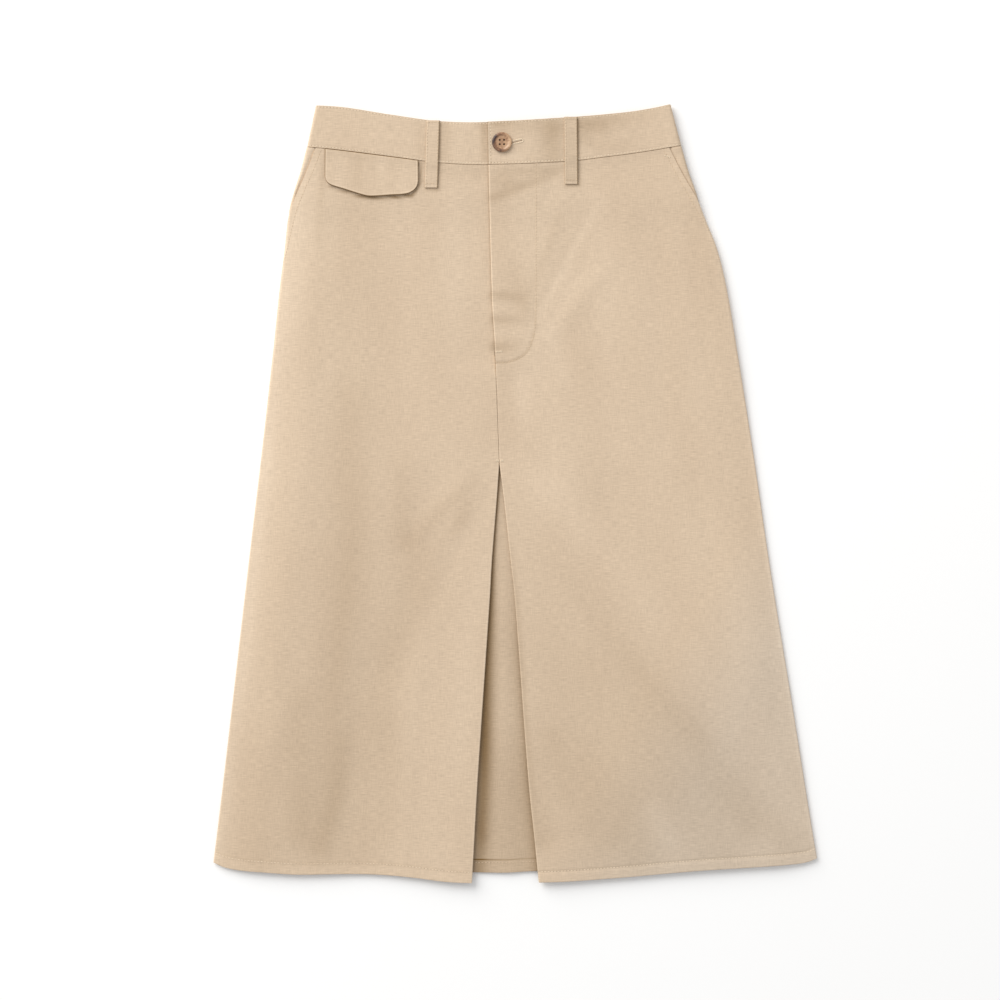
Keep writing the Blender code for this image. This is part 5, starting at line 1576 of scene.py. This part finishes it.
class SKIRT_OT_pocket_facings(bpy.types.Operator):
    """Make the facings that show in the slant pockets"""

    bl_idname = "skirt.pocket_facings"
    bl_label = "Pocket facings"

    def execute(self, context):
        for side, node in FACINGS.items():
            sew(context, node, facing_grid(side), CLOTH, shade=FACING_SHADE[side])
        return {"FINISHED"}


class SKIRT_OT_waistband(bpy.types.Operator):
    """Make the waistband, one strip all round with an underlap"""

    bl_idname = "skirt.waistband"
    bl_label = "Waistband"

    def execute(self, context):
        grid = band_grid()
        relief, shade = band_relief(grid), band_shade(grid)
        sew(context, "waistband", grid, BAND, relief=relief, shade=shade, edge_shade=BAND_EDGE_SHADE)
        return {"FINISHED"}


class SKIRT_OT_pocket_flap(bpy.types.Operator):
    """Make the small shaped pocket flap"""

    bl_idname = "skirt.pocket_flap"
    bl_label = "Pocket flap"

    def execute(self, context):
        grid, relief, shade = flap_grid()
        sew(context, "pocket_flap", grid, FLAP, relief=relief, shade=shade, edge_shade=FLAP_SIDE_SHADE)
        return {"FINISHED"}


class SKIRT_OT_belt_loops(bpy.types.Operator):
    """Make the two front and three back belt loops"""

    bl_idname = "skirt.belt_loops"
    bl_label = "Belt loops"

    def execute(self, context):
        for node, ends in FRONT_LOOPS.items():
            grid, relief, shade = loop_grid(*ends)
            sew(context, node, grid, LOOP_CLOTH, relief=relief, shade=shade, edge_shade=LOOP_SIDE_SHADE)
        for node, x in BACK_LOOPS.items():
            sew(context, node, back_loop_grid(x), LOOP_CLOTH)
        return {"FINISHED"}


class SKIRT_OT_fly_zip(bpy.types.Operator):
    """Make the closed zip behind the fly, a plain tape"""

    bl_idname = "skirt.fly_zip"
    bl_label = "Fly zip"

    def execute(self, context):
        sew(context, "fly_zip", zip_grid(), CLOTH, slot="zip_tape")
        return {"FINISHED"}


class SKIRT_OT_waist_button(bpy.types.Operator):
    """Turn the four-hole waist button, drill its holes and sew it on"""

    bl_idname = "skirt.waist_button"
    bl_label = "Waist button"

    def execute(self, context):
        button = context.scene.skirt_button
        low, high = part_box("waist_button")
        place = Vector((BUTTON_X * MM, BUTTON_Y * MM, low.z))
        height = high.z - low.z
        turned = bmesh.new()
        profile = [turned.verts.new((out * button.width / 2, 0.0, up * height)) for out, up in BUTTON_PROFILE]
        edges = [turned.edges.new(pair) for pair in zip(profile, profile[1:])]
        turn = {"axis": (0, 0, 1), "cent": (0, 0, 0), "angle": math.tau, "steps": BUTTON_SIDES}
        bmesh.ops.spin(turned, geom=profile + edges, **turn)
        bmesh.ops.remove_doubles(turned, verts=turned.verts, dist=1e-6)
        bmesh.ops.recalc_face_normals(turned, faces=turned.faces)
        bmesh.ops.translate(turned, verts=turned.verts, vec=place)
        pins, knots = bmesh.new(), bmesh.new()
        width = BUTTON_HOLE * MM
        for x in (-0.5, 0.5):
            for y in (-0.5, 0.5):
                hole = place + Vector((x, y, 0.0)) * BUTTON_HOLE_PITCH * MM
                sizes = {"radius1": width / 2, "radius2": width / 2, "depth": BUTTON_DRILL * MM}
                pin = bmesh.ops.create_cone(pins, cap_ends=True, segments=16, **sizes)["verts"]
                bmesh.ops.translate(pins, verts=pin, vec=hole)
                ball = {"u_segments": 12, "v_segments": 6, "radius": width * KNOT_RADIUS}
                knot = bmesh.ops.create_uvsphere(knots, **ball)["verts"]
                bmesh.ops.scale(knots, verts=knot, vec=(1.0, 1.0, KNOT_FLATNESS))
                bmesh.ops.translate(knots, verts=knot, vec=hole + Vector((0.0, 0.0, KNOT_RISE * height)))
        blank, drill = from_bmesh("button_blank", turned), from_bmesh("button_drill", pins)
        cut = blank.modifiers.new("holes", "BOOLEAN")
        cut.operation, cut.solver, cut.object = "DIFFERENCE", "EXACT", drill
        drilled = as_built("button", blank)
        bpy.data.objects.remove(drill)
        drilled.data.shade_smooth()
        drilled.data.set_sharp_from_angle(angle=math.radians(BUTTON_CREASE))
        paint(drilled, horn_resin("horn_look_resin", button))
        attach(drilled, "root")
        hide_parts("waist_button")
        # The thread in the holes is dark brown: the thread itself, with painted shade of the holes
        sewn = from_bmesh("button_thread", knots)
        sewn.data.shade_smooth()
        paint(sewn, sewing_thread("button_thread", srgb("#4a372b")))
        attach(sewn, "root")
        return {"FINISHED"}


class SKIRT_OT_topstitching(bpy.types.Operator):
    """Sew the hems, fly, waistband and belt loops"""

    bl_idname = "skirt.topstitching"
    bl_label = "Topstitching"

    def execute(self, context):
        sewing = context.scene.skirt_sewing
        size = (sewing.length / MM, sewing.step / MM, sewing.width / MM, THREAD_HEIGHT)
        hole_shade_size = (NEEDLE_HOLE_SHADE, sewing.step / MM, NEEDLE_HOLE_SHADE, HOLE_HEIGHT)
        thread = sewing_thread("cotton_wrapped_thread", sewing.colour)
        tonal = sewing_thread("tonal_thread", sewing.tonal)
        # Dark blobs between the stitches are painted shade of the needle holes' dimples
        hole = sewing_thread("needle_hole_painted_shade", srgb("#8f765a"))
        stitch_rows("stitching_fly", [laid_on(FRONTS[1], curve_through(FLY_STITCH))], tonal, size)
        pockets = [laid_on(node, pocket_stitch(side)) for side, node in FRONTS.items()]
        stitch_rows("stitching_pockets", pockets, tonal, size)
        for node, lines in seams().items():
            laid = [laid_on(node, line) for line in lines]
            own = tonal if node in FRONT_LOOPS or node == "pleat_underlay" else thread
            stitch_rows(f"stitching_{node}", laid, own, size)
            between = [from_start(line, sewing.step / 2) for line in laid]
            stitch_rows(f"stitching_{node}_holes", between, hole, hole_shade_size)
        return {"FINISHED"}


class SKIRT_OT_bar_tacks(bpy.types.Operator):
    """Sew the bar tacks and the buttonhole"""

    bl_idname = "skirt.bar_tacks"
    bl_label = "Bar tacks and buttonhole"

    def execute(self, context):
        thread = sewing_thread("buttonhole_twist", context.scene.skirt_sewing.colour)
        across = math.pi / 2
        for name, (node, x0, y0, x1, y1, width) in BAR_TACKS.items():
            line = plan(np.linspace(x0, x1, 10), np.linspace(y0, y1, 10))
            stitch_rows(name, [laid_on(node, line)], thread, (width, *TACK_STITCH), across)
        angle = np.linspace(0.0, math.tau, 41)[:-1]
        (x0, y0), (x1, y1) = BUTTONHOLE
        lean, radius = math.atan2(y1 - y0, x1 - x0), BUTTONHOLE_WIDTH / 2
        half = math.hypot(x1 - x0, y1 - y0) / 2 - radius
        run = np.where(np.cos(angle) > 0, half, -half) + np.cos(angle) * radius
        side = np.sin(angle) * radius
        x = (x0 + x1) / 2 + run * math.cos(lean) - side * math.sin(lean)
        y = (y0 + y1) / 2 + run * math.sin(lean) + side * math.cos(lean)
        worked = [laid_on("waistband", plan(x, y))]
        stitch_rows("buttonhole_stitching", worked, thread, BUTTONHOLE_STITCH, across, closed=True)
        # A dark row along the cut is painted shade of the slit
        share = np.linspace(*BUTTONHOLE_SLIT, 12)
        slit = [laid_on("waistband", plan(mix(x0, x1, share), mix(y0, y1, share)))]
        stitch_rows("buttonhole_slit", slit, sewing_thread("buttonhole_slit", srgb("#6f553b")), SLIT_STITCH)
        return {"FINISHED"}


class SKIRT_OT_stage(bpy.types.Operator):
    """Set the pale floor, the soft light and the camera straight above"""

    bl_idname = "skirt.stage"
    bl_label = "Stage"

    def execute(self, context):
        stage = context.scene.skirt_stage
        floor_mesh = bpy.data.meshes.new("floor")
        corners = [(x * FLOOR_REACH, y * FLOOR_REACH, 0.0) for x, y in ((-1, -1), (1, -1), (1, 1), (-1, 1))]
        floor_mesh.from_pydata(corners, [], [(0, 1, 2, 3)])
        floor = linked("floor", floor_mesh)
        floor.location.z = FLOOR_Z
        made, tree, shader = new_material("painted_white_table")
        matt = {"Base Color": stage.floor_colour, "Roughness": 0.9, "Specular IOR Level": 0.1}
        wire(tree, shader, matt)
        paint(floor, made)

        world = bpy.data.worlds.new("studio")
        context.scene.world = world
        world.use_nodes = True
        even = {"Color": (1.0, 1.0, 1.0, 1.0), "Strength": stage.sky}
        wire(world.node_tree, world.node_tree.nodes["Background"], even)

        lamp = bpy.data.lights.new("window", "AREA")
        lamp.shape, lamp.size = "DISK", WINDOW_SIZE
        lamp.energy = stage.window_power
        lamp.color = srgb("#fffefc")[:3]
        holder = linked("window", lamp)
        azimuth, height = math.radians(WINDOW_AZIMUTH), math.radians(WINDOW_HEIGHT)
        level = math.cos(height)
        way = Vector((math.cos(azimuth) * level, math.sin(azimuth) * level, math.sin(height)))
        holder.location = way * WINDOW_DISTANCE
        holder.rotation_mode = "QUATERNION"
        holder.rotation_quaternion = way.to_track_quat("Z", "Y")

        camera = bpy.data.cameras.new("camera")
        camera.sensor_width = SENSOR
        camera.lens = SENSOR * CAMERA_HEIGHT / VIEW_WIDTH
        camera.clip_start, camera.clip_end = VIEW_CLIP
        eye = linked("camera", camera)
        eye.location = (*VIEW_CENTRE, CAMERA_HEIGHT + MID_THICKNESS)
        context.scene.camera = eye
        context.scene.view_settings.view_transform = "Standard"
        context.scene.view_settings.look = "None"
        return {"FINISHED"}


class SKIRT_PT_sidebar(bpy.types.Panel):
    """The skirt's settings, and a button for each group of pieces."""

    bl_label = "Box pleated skirt"
    bl_idname = "SKIRT_PT_sidebar"
    bl_space_type = "VIEW_3D"
    bl_region_type = "UI"
    bl_category = "Skirt"

    def draw(self, context):
        for group in (getattr(context.scene, name) for name in GROUPS):
            box = self.layout.box()
            for name in group.bl_rna.properties.keys():
                if name not in ("rna_type", "name"):
                    box.prop(group, name)
        for operator in OPERATORS:
            self.layout.operator(operator.bl_idname)


GROUPS = {
    "skirt_cloth": SkirtClothSettings,
    "skirt_sewing": SkirtSewingSettings,
    "skirt_button": SkirtButtonSettings,
    "skirt_stage": SkirtStageSettings,
}
OPERATORS = (
    SKIRT_OT_back_panel,
    SKIRT_OT_pleat_underlay,
    SKIRT_OT_pocket_facings,
    SKIRT_OT_front_panels,
    SKIRT_OT_fly_zip,
    SKIRT_OT_waistband,
    SKIRT_OT_pocket_flap,
    SKIRT_OT_belt_loops,
    SKIRT_OT_waist_button,
    SKIRT_OT_topstitching,
    SKIRT_OT_bar_tacks,
    SKIRT_OT_stage,
)
CLASSES = (*GROUPS.values(), *OPERATORS, SKIRT_PT_sidebar)


def register():
    for item in CLASSES:
        bpy.utils.register_class(item)
    for name, group in GROUPS.items():
        setattr(bpy.types.Scene, name, bpy.props.PointerProperty(type=group))


def unregister():
    for name in GROUPS:
        delattr(bpy.types.Scene, name)
    for item in reversed(CLASSES):
        bpy.utils.unregister_class(item)


def main():
    register()
    for operator in OPERATORS:
        space, name = operator.bl_idname.split(".")
        getattr(getattr(bpy.ops, space), name)()


if __name__ == "__main__":
    main()
